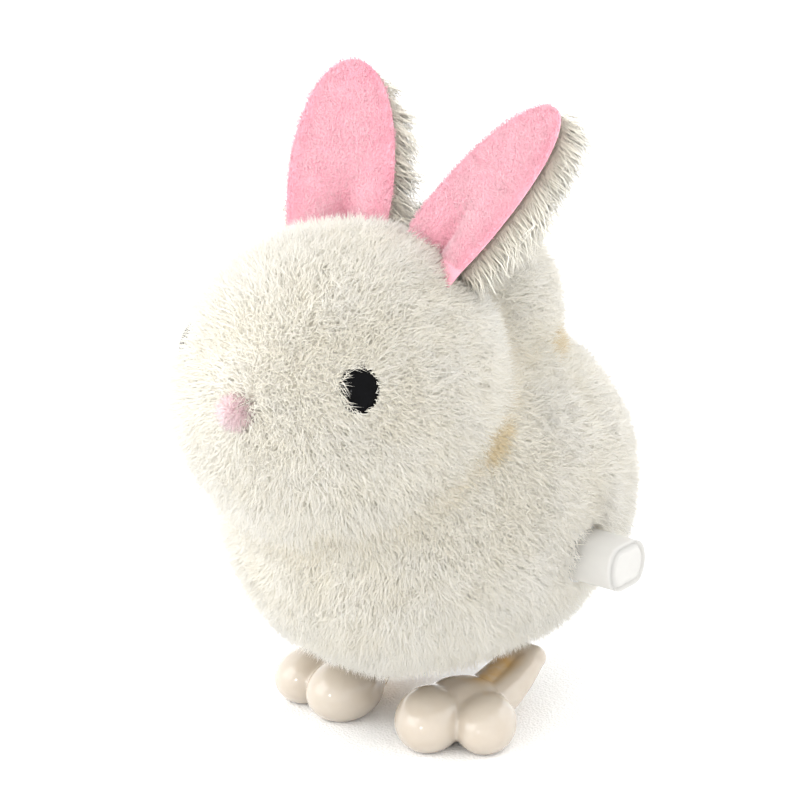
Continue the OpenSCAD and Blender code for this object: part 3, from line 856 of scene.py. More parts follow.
@dataclass(frozen=True)
class ClothFinish:
    """Knitted or carded cloth: two colours in clouds over a fine woven bump.

    Args:
        name: the material's name.
        light, dark: the two colours.
        cloud_scale: waves to a metre of the clouds.
        thread: size of a stitch, in millimetres.
    """

    name: str
    light: Colour
    dark: Colour
    cloud_scale: float
    thread: float

    def material(self) -> bpy.types.Material:
        """The material for backing cloth, wadding or fleece."""
        material, nodes, shader = new_material(self.name)
        colour = use_group(
            nodes,
            Effect.MOTTLE,
            {"Light": opaque(self.light), "Dark": opaque(self.dark), "Scale": self.cloud_scale},
        )
        nodes.join(colour.outputs["Color"], shader.inputs["Base Color"])
        shader.inputs["Roughness"].default_value = 0.95
        shader.inputs["Specular IOR Level"].default_value = 0.15
        shader.inputs["Sheen Weight"].default_value = 0.3
        place_at = nodes.add("ShaderNodeTexCoord").outputs["Object"]
        knit = nodes.add("ShaderNodeTexVoronoi", {"Scale": 1.0 / (self.thread * MM)})
        nodes.join(place_at, knit.inputs["Vector"])
        add_bump(nodes, shader, knit.outputs["Distance"], 0.3 * self.thread * MM)
        return material


@dataclass(frozen=True)
class PlasticFinish:
    """Moulded plastic: a colour with faint clouds, an orange peel and a gloss.

    Args:
        name: the material's name.
        light, dark: the clouds' two colours.
        smooth, rough: lowest and highest roughness.
        cloud_scale, peel_scale: waves to a metre of the clouds and of the peel.
        peel_depth: depth of the peel, in millimetres.
        coat: strength of a clear gloss.
        depth_glow: how far light spreads under the skin, from 0 to 1.
        hem_shade: colour of amber painted shade on the arms behind the toes, under the body's hem,
            or nothing.
    """

    name: str
    light: Colour
    dark: Colour
    smooth: float
    rough: float
    cloud_scale: float = 120.0
    peel_scale: float = 2500.0
    peel_depth: float = 0.004
    coat: float = 0.0
    depth_glow: float = 0.0
    hem_shade: Colour | None = None

    def material(self) -> bpy.types.Material:
        """The material for a moulding."""
        material, nodes, shader = new_material(self.name)
        colour = use_group(
            nodes,
            Effect.MOTTLE,
            {"Light": opaque(self.light), "Dark": opaque(self.dark), "Scale": self.cloud_scale},
        )
        grain = use_group(
            nodes,
            Effect.MOULD_GRAIN,
            {"Peel Scale": self.peel_scale, "Smooth": self.smooth, "Rough": self.rough},
        )
        base = colour.outputs["Color"]
        if self.hem_shade:
            base = self.shade_under_hem(nodes, base)
        nodes.join(base, shader.inputs["Base Color"])
        nodes.join(grain.outputs["Roughness"], shader.inputs["Roughness"])
        add_bump(nodes, shader, grain.outputs["Height"], self.peel_depth * MM)
        shader.inputs["Coat Weight"].default_value = self.coat
        shader.inputs["Coat Roughness"].default_value = 0.08
        shader.inputs["Subsurface Weight"].default_value = self.depth_glow
        shader.inputs["Subsurface Scale"].default_value = 1.2 * MM
        shader.inputs["Subsurface Radius"].default_value = (1.0, 0.7, 0.45)
        return material

    def shade_under_hem(self, nodes: Nodes, base: bpy.types.NodeSocket) -> bpy.types.NodeSocket:
        """The base colour turned amber as painted shade on the arms behind the toes, under the
        body's hem.

        The mask rises between 8.5 and 4 mm ahead of the rabbit's middle, falls between 2 and
        6 mm behind it and towards the outer side of each arm, and soft clouds break it up.
        """
        place_at = nodes.add("ShaderNodeTexCoord").outputs["Object"]
        split = nodes.add("ShaderNodeSeparateXYZ")
        nodes.join(place_at, split.inputs["Vector"])
        rise = nodes.spread(split.outputs["Y"], -8.5 * MM, -4.0 * MM)
        fall = nodes.spread(split.outputs["Y"], 6.0 * MM, 2.0 * MM)
        cloud = nodes.add("ShaderNodeTexNoise", {"Scale": 260.0, "Detail": 3.0})
        nodes.join(place_at, cloud.inputs["Vector"])
        mask = nodes.spread(cloud.outputs["Fac"], 0.25, 0.55)
        width = nodes.add("ShaderNodeMath", operation="ABSOLUTE")
        nodes.join(split.outputs["X"], width.inputs[0])
        inward = nodes.spread(width.outputs[0], 14.2 * MM, 11.8 * MM)
        for part in (rise, fall, inward):
            times = nodes.add("ShaderNodeMath", operation="MULTIPLY")
            nodes.join(mask, times.inputs[0])
            nodes.join(part, times.inputs[1])
            mask = times.outputs[0]
        # amber painted shade where the body's hem shades the arms
        return nodes.blend(mask, base, opaque(self.hem_shade))


@dataclass(frozen=True)
class MetalFinish:
    """Bare or blued metal: two tones and drawn lines along the arbors.

    Args:
        name: the material's name.
        light, dark: the two tones.
        smooth, rough: lowest and highest roughness.
        line_scale: lines to a metre.
    """

    name: str
    light: Colour
    dark: Colour
    smooth: float
    rough: float
    line_scale: float = 4000.0

    def material(self) -> bpy.types.Material:
        """The material for a turned or drawn metal piece."""
        material, nodes, shader = new_material(self.name)
        colour = use_group(
            nodes,
            Effect.MOTTLE,
            {"Light": opaque(self.light), "Dark": opaque(self.dark), "Scale": 600.0},
        )
        nodes.join(colour.outputs["Color"], shader.inputs["Base Color"])
        shader.inputs["Metallic"].default_value = 1.0
        place_at = nodes.add("ShaderNodeTexCoord").outputs["Object"]
        stretch = nodes.add("ShaderNodeMapping", {"Scale": (1.0, 0.04, 0.04)})
        nodes.join(place_at, stretch.inputs["Vector"])
        lines = nodes.add("ShaderNodeTexNoise", {"Scale": self.line_scale, "Detail": 3.0})
        nodes.join(stretch.outputs["Vector"], lines.inputs["Vector"])
        gloss = nodes.add(
            "ShaderNodeMapRange",
            {"From Min": 0.3, "From Max": 0.7, "To Min": self.smooth, "To Max": self.rough},
        )
        nodes.join(lines.outputs["Fac"], gloss.inputs["Value"])
        nodes.join(gloss.outputs["Result"], shader.inputs["Roughness"])
        add_bump(nodes, shader, lines.outputs["Fac"], 0.002 * MM)
        return material


@dataclass(frozen=True)
class BeadFinish:
    """Black glass-like plastic with a hard, slightly uneven gloss."""

    name: str
    colour: Colour

    def material(self) -> bpy.types.Material:
        """The material for an eye bead."""
        material, nodes, shader = new_material(self.name)
        grain = use_group(
            nodes, Effect.MOULD_GRAIN, {"Peel Scale": 900.0, "Smooth": 0.05, "Rough": 0.12}
        )
        tone = use_group(
            nodes,
            Effect.MOTTLE,
            {"Light": opaque(self.colour), "Dark": opaque((0.002, 0.002, 0.002)), "Scale": 300.0},
        )
        nodes.join(tone.outputs["Color"], shader.inputs["Base Color"])
        nodes.join(grain.outputs["Roughness"], shader.inputs["Roughness"])
        shader.inputs["Specular IOR Level"].default_value = 0.05
        return material


WHITE_PILE = PileFinish(
    "white_pile",
    (0.98, 0.91, 0.73),
    (1.0, 0.965, 0.865),
    (0.97, 0.91, 0.75),
    # ochre painted shade for the creases
    (0.80, 0.62, 0.32),
    260.0,
    glow=0.3,
)
PINK_PILE = PileFinish(
    "pink_pile",
    (0.84, 0.38, 0.44),
    (0.88, 0.54, 0.59),
    (0.84, 0.42, 0.49),
    # dark rose painted shade for the fleece's edges, crease and tip
    (0.80, 0.26, 0.35),
    420.0,
)
NOSE_PILE = PileFinish(
    "nose_pile",
    (1.0, 0.62, 0.66),
    (1.0, 0.74, 0.76),
    (1.0, 0.66, 0.69),
    (0.95, 0.50, 0.55),
    500.0,
    glow=0.3,
)
BACKING = ClothFinish("backing_cloth", (0.88, 0.85, 0.77), (0.80, 0.76, 0.66), 200.0, 0.35)
PINK_CLOTH = ClothFinish("pink_fleece_cloth", (0.93, 0.50, 0.58), (0.86, 0.38, 0.47), 260.0, 0.3)
WADDING = ClothFinish("polyester_wadding", (0.94, 0.94, 0.93), (0.86, 0.86, 0.85), 180.0, 0.5)
NOSE_CLOTH = ClothFinish("nose_cloth", (1.0, 0.66, 0.7), (0.98, 0.58, 0.63), 400.0, 0.3)
FLOOR_PAPER = ClothFinish("floor_paper", (0.96, 0.96, 0.96), (0.95, 0.95, 0.95), 3.0, 0.4)
EYE_BLACK = BeadFinish("eye_black", (0.004, 0.004, 0.005))
IVORY = PlasticFinish(
    "ivory_plastic", (0.55, 0.49, 0.415), (0.50, 0.43, 0.35), 0.16, 0.24, coat=0.5, depth_glow=0.08
)
# The feet's amber colour behind the toes is painted shade under the body's hem.
FOOT_IVORY = replace(IVORY, name="foot_ivory", hem_shade=(0.56, 0.36, 0.14))
KNOB_WHITE = PlasticFinish("knob_plastic", (0.57, 0.56, 0.535), (0.54, 0.53, 0.505), 0.34, 0.44)
NYLON = PlasticFinish("washer_nylon", (0.85, 0.85, 0.82), (0.78, 0.78, 0.74), 0.4, 0.5)
HOUSING = PlasticFinish("housing_plastic", (0.82, 0.77, 0.67), (0.77, 0.71, 0.6), 0.4, 0.52)
MOTOR_CASE = PlasticFinish("motor_case_plastic", (0.72, 0.58, 0.3), (0.66, 0.52, 0.25), 0.32, 0.45)
GEAR = PlasticFinish("gear_nylon", (0.88, 0.84, 0.7), (0.83, 0.78, 0.62), 0.3, 0.42, depth_glow=0.1)
BRASS = MetalFinish("brass", (0.80, 0.60, 0.27), (0.68, 0.48, 0.2), 0.22, 0.38)
BLUED = MetalFinish("blued_steel", (0.16, 0.2, 0.3), (0.24, 0.22, 0.26), 0.25, 0.4)
STEEL = MetalFinish("bright_steel", (0.66, 0.66, 0.68), (0.55, 0.55, 0.57), 0.2, 0.36)


# ---------------------------------------------------------------- the plush
BODY = Egg((0.0, -2.5, 36.0), 27.0, 35.0, 36.0, tilt=6.0)
HEAD = Egg((0.0, -24.2, 59.8), 23.0, 25.5, 24.0)
NAPE = Egg((0.0, 4.8, 64.0), 15.0, 15.0, 15.0, fullness=2.0)
FUR = Pile(15.5, 3.8, 0.06, 0.42, 0.40, 0.32, 1.6, 0.12, seed=11)
LUMPS = Noise(5)
LUMP_DEPTH = 0.35
# Where heels, toes and arms swing on the left: a line's two ends, and a radius round it.
LEG_ROOM = (
    ((7.0, 6.5, 8.4), (14.0, 6.5, 8.4), 3.0),
    ((8.5, -13.0, 4.9), (17.0, -9.5, 4.9), 5.9),
    ((12.0, -10.0, 5.0), (12.5, 5.0, 8.0), 4.0),
)
# Middles of two spots of stronger painted shade in the creases.
CREASE_SHADE_SPOTS = ((20.0, -15.0, 52.2), (12.0, 10.4, 57.6))


def lumpy(points: Array, normals: Array) -> Array:
    """Points pushed along their normals by soft lumps, as stuffing makes under cloth."""
    swell = LUMPS.number(points, 9 * MM) + 0.4 * LUMPS.number(points + 1.0, 4 * MM)
    return points + normals * (swell * LUMP_DEPTH * MM)[:, None]


def stuffed(egg: Egg, grid: Array) -> Array:
    """A grid of points on an egg, pushed out by the stuffing's lumps."""
    flat = grid.reshape(-1, 3)
    return lumpy(flat, egg.normals(flat)).reshape(grid.shape)


@dataclass(frozen=True)
class Keepout:
    """A capsule that pile stays out of.

    Args:
        start: one end of its line, in millimetres.
        end: the other end.
        radius: how far from the line it reaches.
    """

    start: tuple[float, float, float]
    end: tuple[float, float, float]
    radius: float

    def holds(self, points: Array) -> Array:
        """Whether points are nearer to the line than the radius."""
        start, end = np.array(self.start) * MM, np.array(self.end) * MM
        run = end - start
        share = np.clip((points - start) @ run / max(run @ run, 1e-12), 0, 1)
        gap = np.linalg.norm(points - start - share[:, None] * run, axis=1)
        return gap < self.radius * MM


@dataclass(frozen=True)
class Plush:
    """The stuffed covers of the body, the head and the nape, and their pile.

    Args:
        cloth_depth: depth of the cloth's face below the tips of the pile, in millimetres.
        cloth: thickness of the cloth.
        rim: height of the body's open edge.
        hem: height of the lowest tip of pile.
        fillet: how softly the pile joins one form to the next.
        mouth: half widths of the opening round the base plate, across and along.
        mouth_y: middle of the opening.
    """

    cloth_depth: float = 2.1
    cloth: float = 0.8
    rim: float = 12.3
    hem: float = 9.3
    fillet: float = 2.6
    mouth: tuple[float, float] = (11.4, 12.7)
    mouth_y: float = -1.5

    def opening(self, points: Array) -> Array:
        """How far out points lie from the opening's sixth-power ellipse: 1 on its edge."""
        across = np.abs(points[:, 0]) / (self.mouth[0] * MM)
        along = np.abs(points[:, 1] - self.mouth_y * MM) / (self.mouth[1] * MM)
        return (across**6 + along**6) ** (1 / 6)

    def covered(self, points: Array) -> Array:
        """Positive where the body's cloth goes: above the rim, and outside the opening."""
        beside = np.where(points[:, 2] > 20 * MM, 1.0, self.opening(points) - 1.0)
        return np.minimum(points[:, 2] / (self.rim * MM) - 1.0, beside)

    def body_cover(self) -> bpy.types.Object:
        """The body's cloth: a cap down to the rim, and a gathered edge in to the plate.

        The edge's inner outline is a sixth-power ellipse round the plate.
        """
        egg = BODY.inset(self.cloth_depth)
        grid = egg.cap(np.array([0.0, 0.1, 1.0]), self.covered, 90, 160)
        fade = smooth_step(grid[..., 2:], self.rim * MM, (self.rim + 5) * MM)
        grid = grid + (stuffed(egg, grid) - grid) * fade
        out = grid[-1] - np.array([0, self.mouth_y * MM, 0])
        angle = np.arctan2(out[:, 1] / self.mouth[1], out[:, 0] / self.mouth[0])
        power = (np.abs(np.cos(angle)) ** 6 + np.abs(np.sin(angle)) ** 6) ** (-1 / 6)
        inner = np.stack(
            [
                power * np.cos(angle) * self.mouth[0] * MM,
                power * np.sin(angle) * self.mouth[1] * MM + self.mouth_y * MM,
                np.full(len(angle), (self.rim + 0.4) * MM),
            ],
            axis=1,
        )
        pleat = 0.25 * MM * np.sin(np.arctan2(out[:, 1], out[:, 0]) * 36)
        inner[:, 2] += pleat
        hem = [grid[-1] + (inner - grid[-1]) * share for share in (0.4, 0.75, 1.0)]
        skin = tube("body_cover", np.concatenate([grid, hem]), True, False)
        return thicken(skin, self.cloth * MM)

    def head_cover(self) -> bpy.types.Object:
        """The head's cloth, open where it is sewn to the body."""
        egg, body = HEAD.inset(self.cloth_depth), BODY.inset(self.cloth_depth)
        pole = np.array(HEAD.centre) - np.array(BODY.centre)
        grid = egg.cap(pole, lambda p: body.level(p) - 1.0, 80, 144)
        return thicken(tube("head_cover", stuffed(egg, grid), True, False), self.cloth * MM)

    def nape_cover(self) -> bpy.types.Object:
        """The nape's cloth, open where it is sewn to the head and the body."""
        egg = NAPE.inset(self.cloth_depth)
        others = (HEAD.inset(self.cloth_depth), BODY.inset(self.cloth_depth))
        grid = egg.cap(
            np.array([0.0, 0.5, 0.87]),
            lambda p: np.minimum(others[0].level(p), others[1].level(p)) - 1.0,
            40,
            96,
        )
        return thicken(tube("nape_cover", stuffed(egg, grid), True, False), self.cloth * MM)

    def pile(
        self,
        name: str,
        egg: Egg,
        others: Sequence[Egg],
        bare: Sequence[Keepout],
        flow: Callable[[Array], Array],
        seed: int,
    ) -> list[bpy.types.Object]:
        """The pile of one cover.

        Args:
            name: the pieces' name.
            egg: the cover's form, at the tips of its pile.
            others: covers that this one's roots stay out of.
            bare: places with no pile.
            flow: the way the pile is brushed at each point.
            seed: number that the chance starts from.

        Returns:
            The pieces.
        """
        cut = replace(FUR, seed=seed)
        skin = egg.inset(self.cloth_depth)
        points, normals = skin.scatter(cut.density, np.random.default_rng(seed))
        outside = (points[:, 2] > (self.rim + 0.1) * MM) & (self.covered(points) > 0.02)
        for other in others:
            outside &= other.inset(self.cloth_depth + 0.6).level(points) > 1.0
        points, normals = lumpy(points, normals)[outside], normals[outside]
        skins = [form.inset(self.cloth_depth) for form in (egg, *others)]
        points, normals, crease = settle(points, skins, self.fillet)
        strands = cut.grow(points - 0.25 * MM * normals, normals, flow(points))
        # Painted shade: strands in the creases, and most of all near two spots, have their shade
        # lowered, below 0 towards the pile's dark colour.
        crease_shade = 0.6 * crease
        for spot in CREASE_SHADE_SPOTS:
            near = np.linalg.norm(points - np.array(spot) * MM, axis=1)
            crease_shade += 1.5 * crease * smooth_step(-near, -5.0 * MM, -1.5 * MM)
        strands = replace(strands, shade=np.clip(strands.shade - crease_shade, -1, 1))
        for keepout in bare:
            strands = strands.clear_of(keepout.holds)
        lowest = self.hem * MM
        tips = strands.tips.copy()
        tips[:, 2] = np.maximum(tips[:, 2], lowest + 0.25 * (tips[:, 2] - lowest))
        tips[:, 2] = np.maximum(tips[:, 2], lowest - 1.0 * MM)
        return cut.pieces(name, replace(strands, tips=tips), egg.middle)


@dataclass(frozen=True)
class Stuffing:
    """Wadding that fills a cover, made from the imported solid's own shape.

    Args:
        node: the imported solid.
        name: the new piece's name.
        voxel: size of its faces, in millimetres.
        fluff: depth of its lumps, in millimetres.
    """

    node: str
    name: str
    voxel: float = 0.9
    fluff: float = 0.22

    def build(self) -> bpy.types.Object:
        """A lumpy copy of the solid, drawn in so that it stays inside its cover."""
        source = frame["nodes"][self.node]
        mesh = source.data.copy()
        piece = bpy.data.objects.new(self.name, mesh)
        bpy.context.scene.collection.objects.link(piece)
        weld = piece.modifiers.new("weld", "WELD")
        weld.merge_threshold = WELD_GAP
        melt = piece.modifiers.new("melt", "REMESH")
        melt.mode = "VOXEL"
        melt.voxel_size = self.voxel * MM
        melt.use_smooth_shade = True
        finish_modifiers(piece)
        at, out = corners_of(piece), normals_of(piece)
        swell = LUMPS.number(at, 3.5 * MM) - 1.0 + 0.5 * LUMPS.number(at + 2.0, 1.6 * MM)
        move_corners(piece, at + out * (swell * self.fluff * MM)[:, None])
        return piece


# ---------------------------------------------------------------- ears
@dataclass(frozen=True)
class Ear:
    """A furry back layer and a pink fleece front, on a line that leans back and out.

    Args:
        side: 1 for the left ear, -1 for the right.
        length: from the seam to the tip, in millimetres.
        width: greatest width of the back layer.
        margin: back layer that shows round the pink.
        lean, splay, turn: angles in degrees, back, out and round its own line.
        root: direction from the head's middle to the seam.
        cup: how far the edges stand forward of the middle.
        fold: depth of the crease where the ear is pinched at its seam.
        sink: length that is sewn inside the head.
        widest: share of the length at which the ear is widest.
        seam: width at the seam, as a share of the greatest.
        arch: power of the outline past its widest place: 2 is an ellipse.
        pinch: middle and width of the crease, as shares of the half width.
        curl: how far the tip bends back.
    """

    side: int
    length: float = 28.3
    width: float = 18.8
    margin: float = 1.2
    lean: float = 36.0
    splay: float = 24.0
    turn: float = 28.0
    root: tuple[float, float, float] = (8.8, 11.0, 18.0)
    cup: float = 0.2
    fold: float = 2.4
    sink: float = 3.0
    widest: float = 0.25
    seam: float = 0.93
    arch: float = 2.15
    pinch: tuple[float, float] = (-0.1, 0.3)
    curl: float = 1.1

    @property
    def label(self) -> str:
        """Which ear it is."""
        return "left" if self.side > 0 else "right"

    def axes(self) -> tuple[Array, Array, Array, Array]:
        """The seam's middle, and unit vectors across, up and out of the front of the ear."""
        lean, splay, turn = (math.radians(a) for a in (self.lean, self.splay, self.turn))
        up = unit(np.array([math.tan(splay) * math.cos(lean), math.sin(lean), math.cos(lean)]))
        ahead = unit(np.array([0.0, -1.0, 0.0]) + up[1] * up)
        face = ahead * math.cos(turn) - np.cross(up, ahead) * math.sin(turn)
        across = np.cross(up, face)
        seam = HEAD.surface(unit(np.array([self.root])))[0]
        flip = np.array([self.side, 1.0, 1.0])
        return seam * flip, across * flip, up * flip, face * flip

    def half(self, share: Array) -> Array:
        """Half width as a share of the greatest, at a share of the length.

        Past the widest place it is a circle-like arch to the tip, and before it the width
        falls with the square of the distance to the seam.
        """
        arch = np.clip((share - self.widest) / (1 - self.widest), 0, 1) ** self.arch
        taper = np.clip((self.widest - share) / self.widest, 0, None) ** 2
        return np.where(share > self.widest, np.sqrt(1 - arch), 1 - (1 - self.seam) * taper)

    def bend(self, across: Array, share: Array) -> Array:
        """How far forward the layer lies, in millimetres, at a share of the half width and of
        the length: a cup that grows with the square of the distance from the middle, less
        a crease that fades before the middle of the ear and a slight curl at the tip."""
        middle, wide = self.pinch
        dent = np.exp(-(((across - middle) / wide) ** 2))
        crease = self.fold * dent * (1 - smooth_step(share, 0.0, 0.42))
        return self.cup * across**2 * (1 - 0.4 * share) - crease - self.curl * share**2

    def to_frame(self, across: Array, along: Array, out: Array) -> Array:
        """Ear coordinates in millimetres as places in metres."""
        seam, x_axis, y_axis, z_axis = self.axes()
        parts = across[..., None] * x_axis + along[..., None] * y_axis + out[..., None] * z_axis
        return seam + parts * MM

    def layer(
        self, name: str, half: float, length: float, middle: float, thick: float
    ) -> bpy.types.Object:
        """A closed leaf: flat ovals along the ear, drawn to a point at both ends.

        Args:
            name: the piece's name.
            half: greatest half width.
            length: from the seam to the tip.
            middle: how far forward its middle lies.
            thick: half thickness.

        Returns:
            The object.
        """
        sewn, shown = 8, 56
        share = np.sin(np.linspace(0.0, 1.0, shown) * math.pi / 2)[:, None]
        along = np.linspace(-self.sink, 0, sewn, endpoint=False)[:, None]
        share = np.concatenate([np.zeros((sewn, 1)), share[:-1] * 0.9995])
        along = np.concatenate([along, share[sewn:] * length])
        turn = circle(64)[None, :]
        width = half * self.half(share)
        across = np.cos(turn) * width
        rounding = np.minimum(1.0, width / (4 * thick))
        out = middle + thick * rounding * np.sign(np.sin(turn)) * np.abs(np.sin(turn)) ** 0.7
        out = out + self.bend(np.cos(turn) * (width / half), share)
        along = np.broadcast_to(along, across.shape)
        return tube(name, self.to_frame(across, along, out))

    def cover(self, half: float, length: float, density: float, seed: int) -> tuple[Array, Array]:
        """Even points over the flat outline: shares of the half width and of the length."""
        rng = np.random.default_rng(seed)
        count = int(2 * half * length * density)
        step = np.arange(count)
        across = ((step * EVEN_STEPS[0] + 0.5) % 1.0) * 2 - 1
        share = (step * EVEN_STEPS[1] + 0.5) % 1.0
        across = across + rng.normal(0, 0.01, count)
        inside = np.abs(across) < self.half(share) * 0.99
        return across[inside], share[inside]


@dataclass(frozen=True)
class EarMaker:
    """Builds an ear's two layers and the pile on each.

    Args:
        back: the long pile of the back layer.
        fleece: the short pile of the pink front.
        inset: how far the back's cloth stays inside the ear's outline, in millimetres.
        roots: how far the roots of the back's pile stay inside it, across and at the tip.
        levels: how far forward the middles of the back and front cloths lie.
        halves: their half thicknesses.
        roll: how far the back's pile turns outwards at the rim and the tip.
        light: the way that the back's pile is lit from.
    """

    back: Pile = Pile(32.0, 7.2, 0.075, 0.32, 0.34, 0.30, 2.6, 0.22, seed=51)
    fleece: Pile = Pile(24.0, 0.8, 0.06, 0.35, 0.35, 0.22, 0.8, 0.0, seed=71)
    inset: float = 2.4
    roots: tuple[float, float] = (1.3, 1.4)
    levels: tuple[float, float] = (-0.6, 0.35)
    halves: tuple[float, float] = (0.45, 0.4)
    roll: float = 0.35
    light: tuple[float, float, float] = (0.1, -0.5, 0.9)

    def build(
        self,
        ear: Ear,
        white: bpy.types.Material,
        pink: bpy.types.Material,
        cloth: bpy.types.Material,
        pink_cloth: bpy.types.Material,
    ) -> None:
        """Makes and places the four pieces of an ear."""
        name = f"ear_{ear.label}"
        layers = (
            ("back", "cloth", self.inset, "white_plush", cloth),
            ("front", "fleece", ear.margin, "pink_fleece", pink_cloth),
        )
        for (which, kind, inset, slot, material), level, thick in zip(
            layers, self.levels, self.halves
        ):
            label = f"{name}_{which}_{kind}"
            piece = ear.layer(label, ear.width / 2 - inset, ear.length - inset, level, thick)
            place(piece, "root", material, [f"{name}_{which}"])
        self.back_pile(ear, white)
        self.front_pile(ear, pink)

    def back_pile(self, ear: Ear, white: bpy.types.Material) -> None:
        """Long pile on the back and the rim, brushed down and away from the face."""
        _, across_axis, up, face = ear.axes()
        half, length = ear.width / 2 - self.roots[0], ear.length - self.roots[1]
        across, share = ear.cover(half, length, self.back.density, self.back.seed + ear.side)
        width = ear.half(share)
        rim = smooth_step(np.abs(across) / width, 0.72, 1.0)[:, None]
        tip = smooth_step(share, 0.86, 1.0)[:, None]
        side = np.sign(across)[:, None] * across_axis
        normals = unit(-face + self.roll * (rim * side + tip * up))
        out = -0.15 - 0.6 * (1 - np.abs(across) ** 3) + ear.bend(across, share)
        points = ear.to_frame(across * half, share * length, out)
        flow = -0.35 * up + np.array([0.0, 0.5, -0.55]) + 0.15 * side
        strands = self.back.grow(points, normals, np.broadcast_to(flow, points.shape))
        lit = unit(0.35 * normals + np.array(self.light))
        piece = self.back.mesh(f"ear_{ear.label}_back_pile", replace(strands, normals=lit))
        place(piece, "root", white)

    def front_pile(self, ear: Ear, pink: bpy.types.Material) -> None:
        """Short fleece on the pink front, with painted shade at its edges, its base crease and its
        tip.
        """
        _, across_axis, up, face = ear.axes()
        half, length = ear.width / 2 - ear.margin, ear.length - ear.margin
        seed = self.fleece.seed + ear.side
        across, share = ear.cover(half, length, self.fleece.density, seed)
        width = ear.half(share)
        edge = np.abs(across) / width
        out = 0.35 + 0.4 * np.sqrt(np.clip(1 - edge**4, 0, 1)) - 0.1 + ear.bend(across, share)
        points = ear.to_frame(across * half, share * length, out)
        step = 0.02
        rise = ear.bend(across + step, share) - ear.bend(across - step, share)
        slope = rise / (2 * step * half)
        roll = np.sign(across) * smooth_step(edge, 0.82, 1.0) * 0.9
        normals = unit(face - (slope - roll)[:, None] * across_axis)
        strands = self.fleece.grow(points, normals, np.broadcast_to(up, points.shape))
        crease = np.exp(-(((across - ear.pinch[0]) / 0.22) ** 2))
        crease = crease * (1 - smooth_step(share, 0.0, 0.35))
        # Painted shade on the fleece: strongest along its edges, in the crease at its base and
        # towards its tip.
        deep = 0.9 * smooth_step(edge, 0.5, 1.0) + 1.2 * crease + 0.5 * smooth_step(share, 0.6, 1.0)
        shade = np.clip(0.35 + 0.8 * strands.shade - deep, -1, 1)
        piece = self.fleece.mesh(f"ear_{ear.label}_front_pile", replace(strands, shade=shade))
        place(piece, "root", pink)


# ---------------------------------------------------------------- face and tail
@dataclass(frozen=True)
class Face:
    """Two bead eyes on shanks and a nose of pink yarn.

    Args:
        eye_turn, eye_lift: angles from the muzzle round to an eye and up to it.
        bead: half width and half height of a bead, and the depth of its dome.
        base: depth of its rounded back.
        depth: how far a bead's middle lies inside the tips of the pile.
        nose_lift: angle of the nose above the head's middle.
        nose: radius of the nose, up to its tips.
        core: radius of the padded ball in the nose.
        sunk: how far the nose's middle lies inside the head's form.
    """

    eye_turn: float = 45.0
    eye_lift: float = 17.0
    bead: tuple[float, float, float] = (2.95, 3.6, 1.85)
    base: float = 0.75
    depth: float = 2.15
    nose_lift: float = 6.0
    nose: float = 2.9
    core: float = 1.3
    sunk: float = 1.2

    def eye_line(self) -> Array:
        """Unit vector from the head's middle to the left eye."""
        return bearing(self.eye_turn, self.eye_lift)

    def eye_middle(self) -> Array:
        """Middle of the left eye's bead."""
        line = self.eye_line()
        return HEAD.surface(line[None])[0] - line * self.depth * MM

    def eye(self, side: int) -> bpy.types.Object:
        """A bead that runs into its shank: rings along its line, whose radius is that of a
        squared-off oval in front, and of a short neck and a rod behind."""
        line = self.eye_line()
        across = unit(np.cross([0.0, 0.0, 1.0], line))
        up = np.cross(line, across)
        arc = np.linspace(0.02, math.pi - 0.3, 40)
        radius = np.concatenate([np.sin(arc), [0.28, 0.27, 0.27, 0.27, 0.2]])
        dome = np.cos(arc) * np.where(arc < math.pi / 2, self.bead[2], self.base)
        height = np.concatenate([dome, [-1.0, -1.2, -3.0, -4.8, -4.9]])
        turn = circle(64)
        wide = (np.cos(turn)[None, :, None] * across * self.bead[0]
                + np.sin(turn)[None, :, None] * up * self.bead[1])
        rings = wide * radius[:, None, None] + height[:, None, None] * line
        flip = np.array([side, 1.0, 1.0])
        label = "left" if side > 0 else "right"
        return tube(f"eye_{label}_bead", (self.eye_middle() + rings * MM) * flip)

    def nose_middle(self) -> Array:
        """Middle of the nose."""
        line = bearing(0.0, self.nose_lift)
        return HEAD.surface(line[None])[0] - line * self.sunk * MM

    def nose_pieces(self) -> tuple[bpy.types.Object, bpy.types.Object]:
        """A small padded core and its tuft of yarn."""
        core = ball(self.nose_middle(), self.core)
        grid = core.cap(np.array([0.0, -1.0, 0.1]), everywhere, 24, 32)
        tuft = Pile(110.0, self.nose - 0.8, 0.055, 0.2, 0.42, 0.3, 0.9, 0.1, seed=31)
        points, normals = core.scatter(tuft.density, np.random.default_rng(31))
        front = normals[:, 1] < 0.35
        points, normals = points[front], normals[front]
        strands = tuft.grow(points, normals, np.broadcast_to([0.3, 0.5, -0.4], points.shape))
        return tube("nose_core", grid), tuft.mesh("nose_tuft", strands)


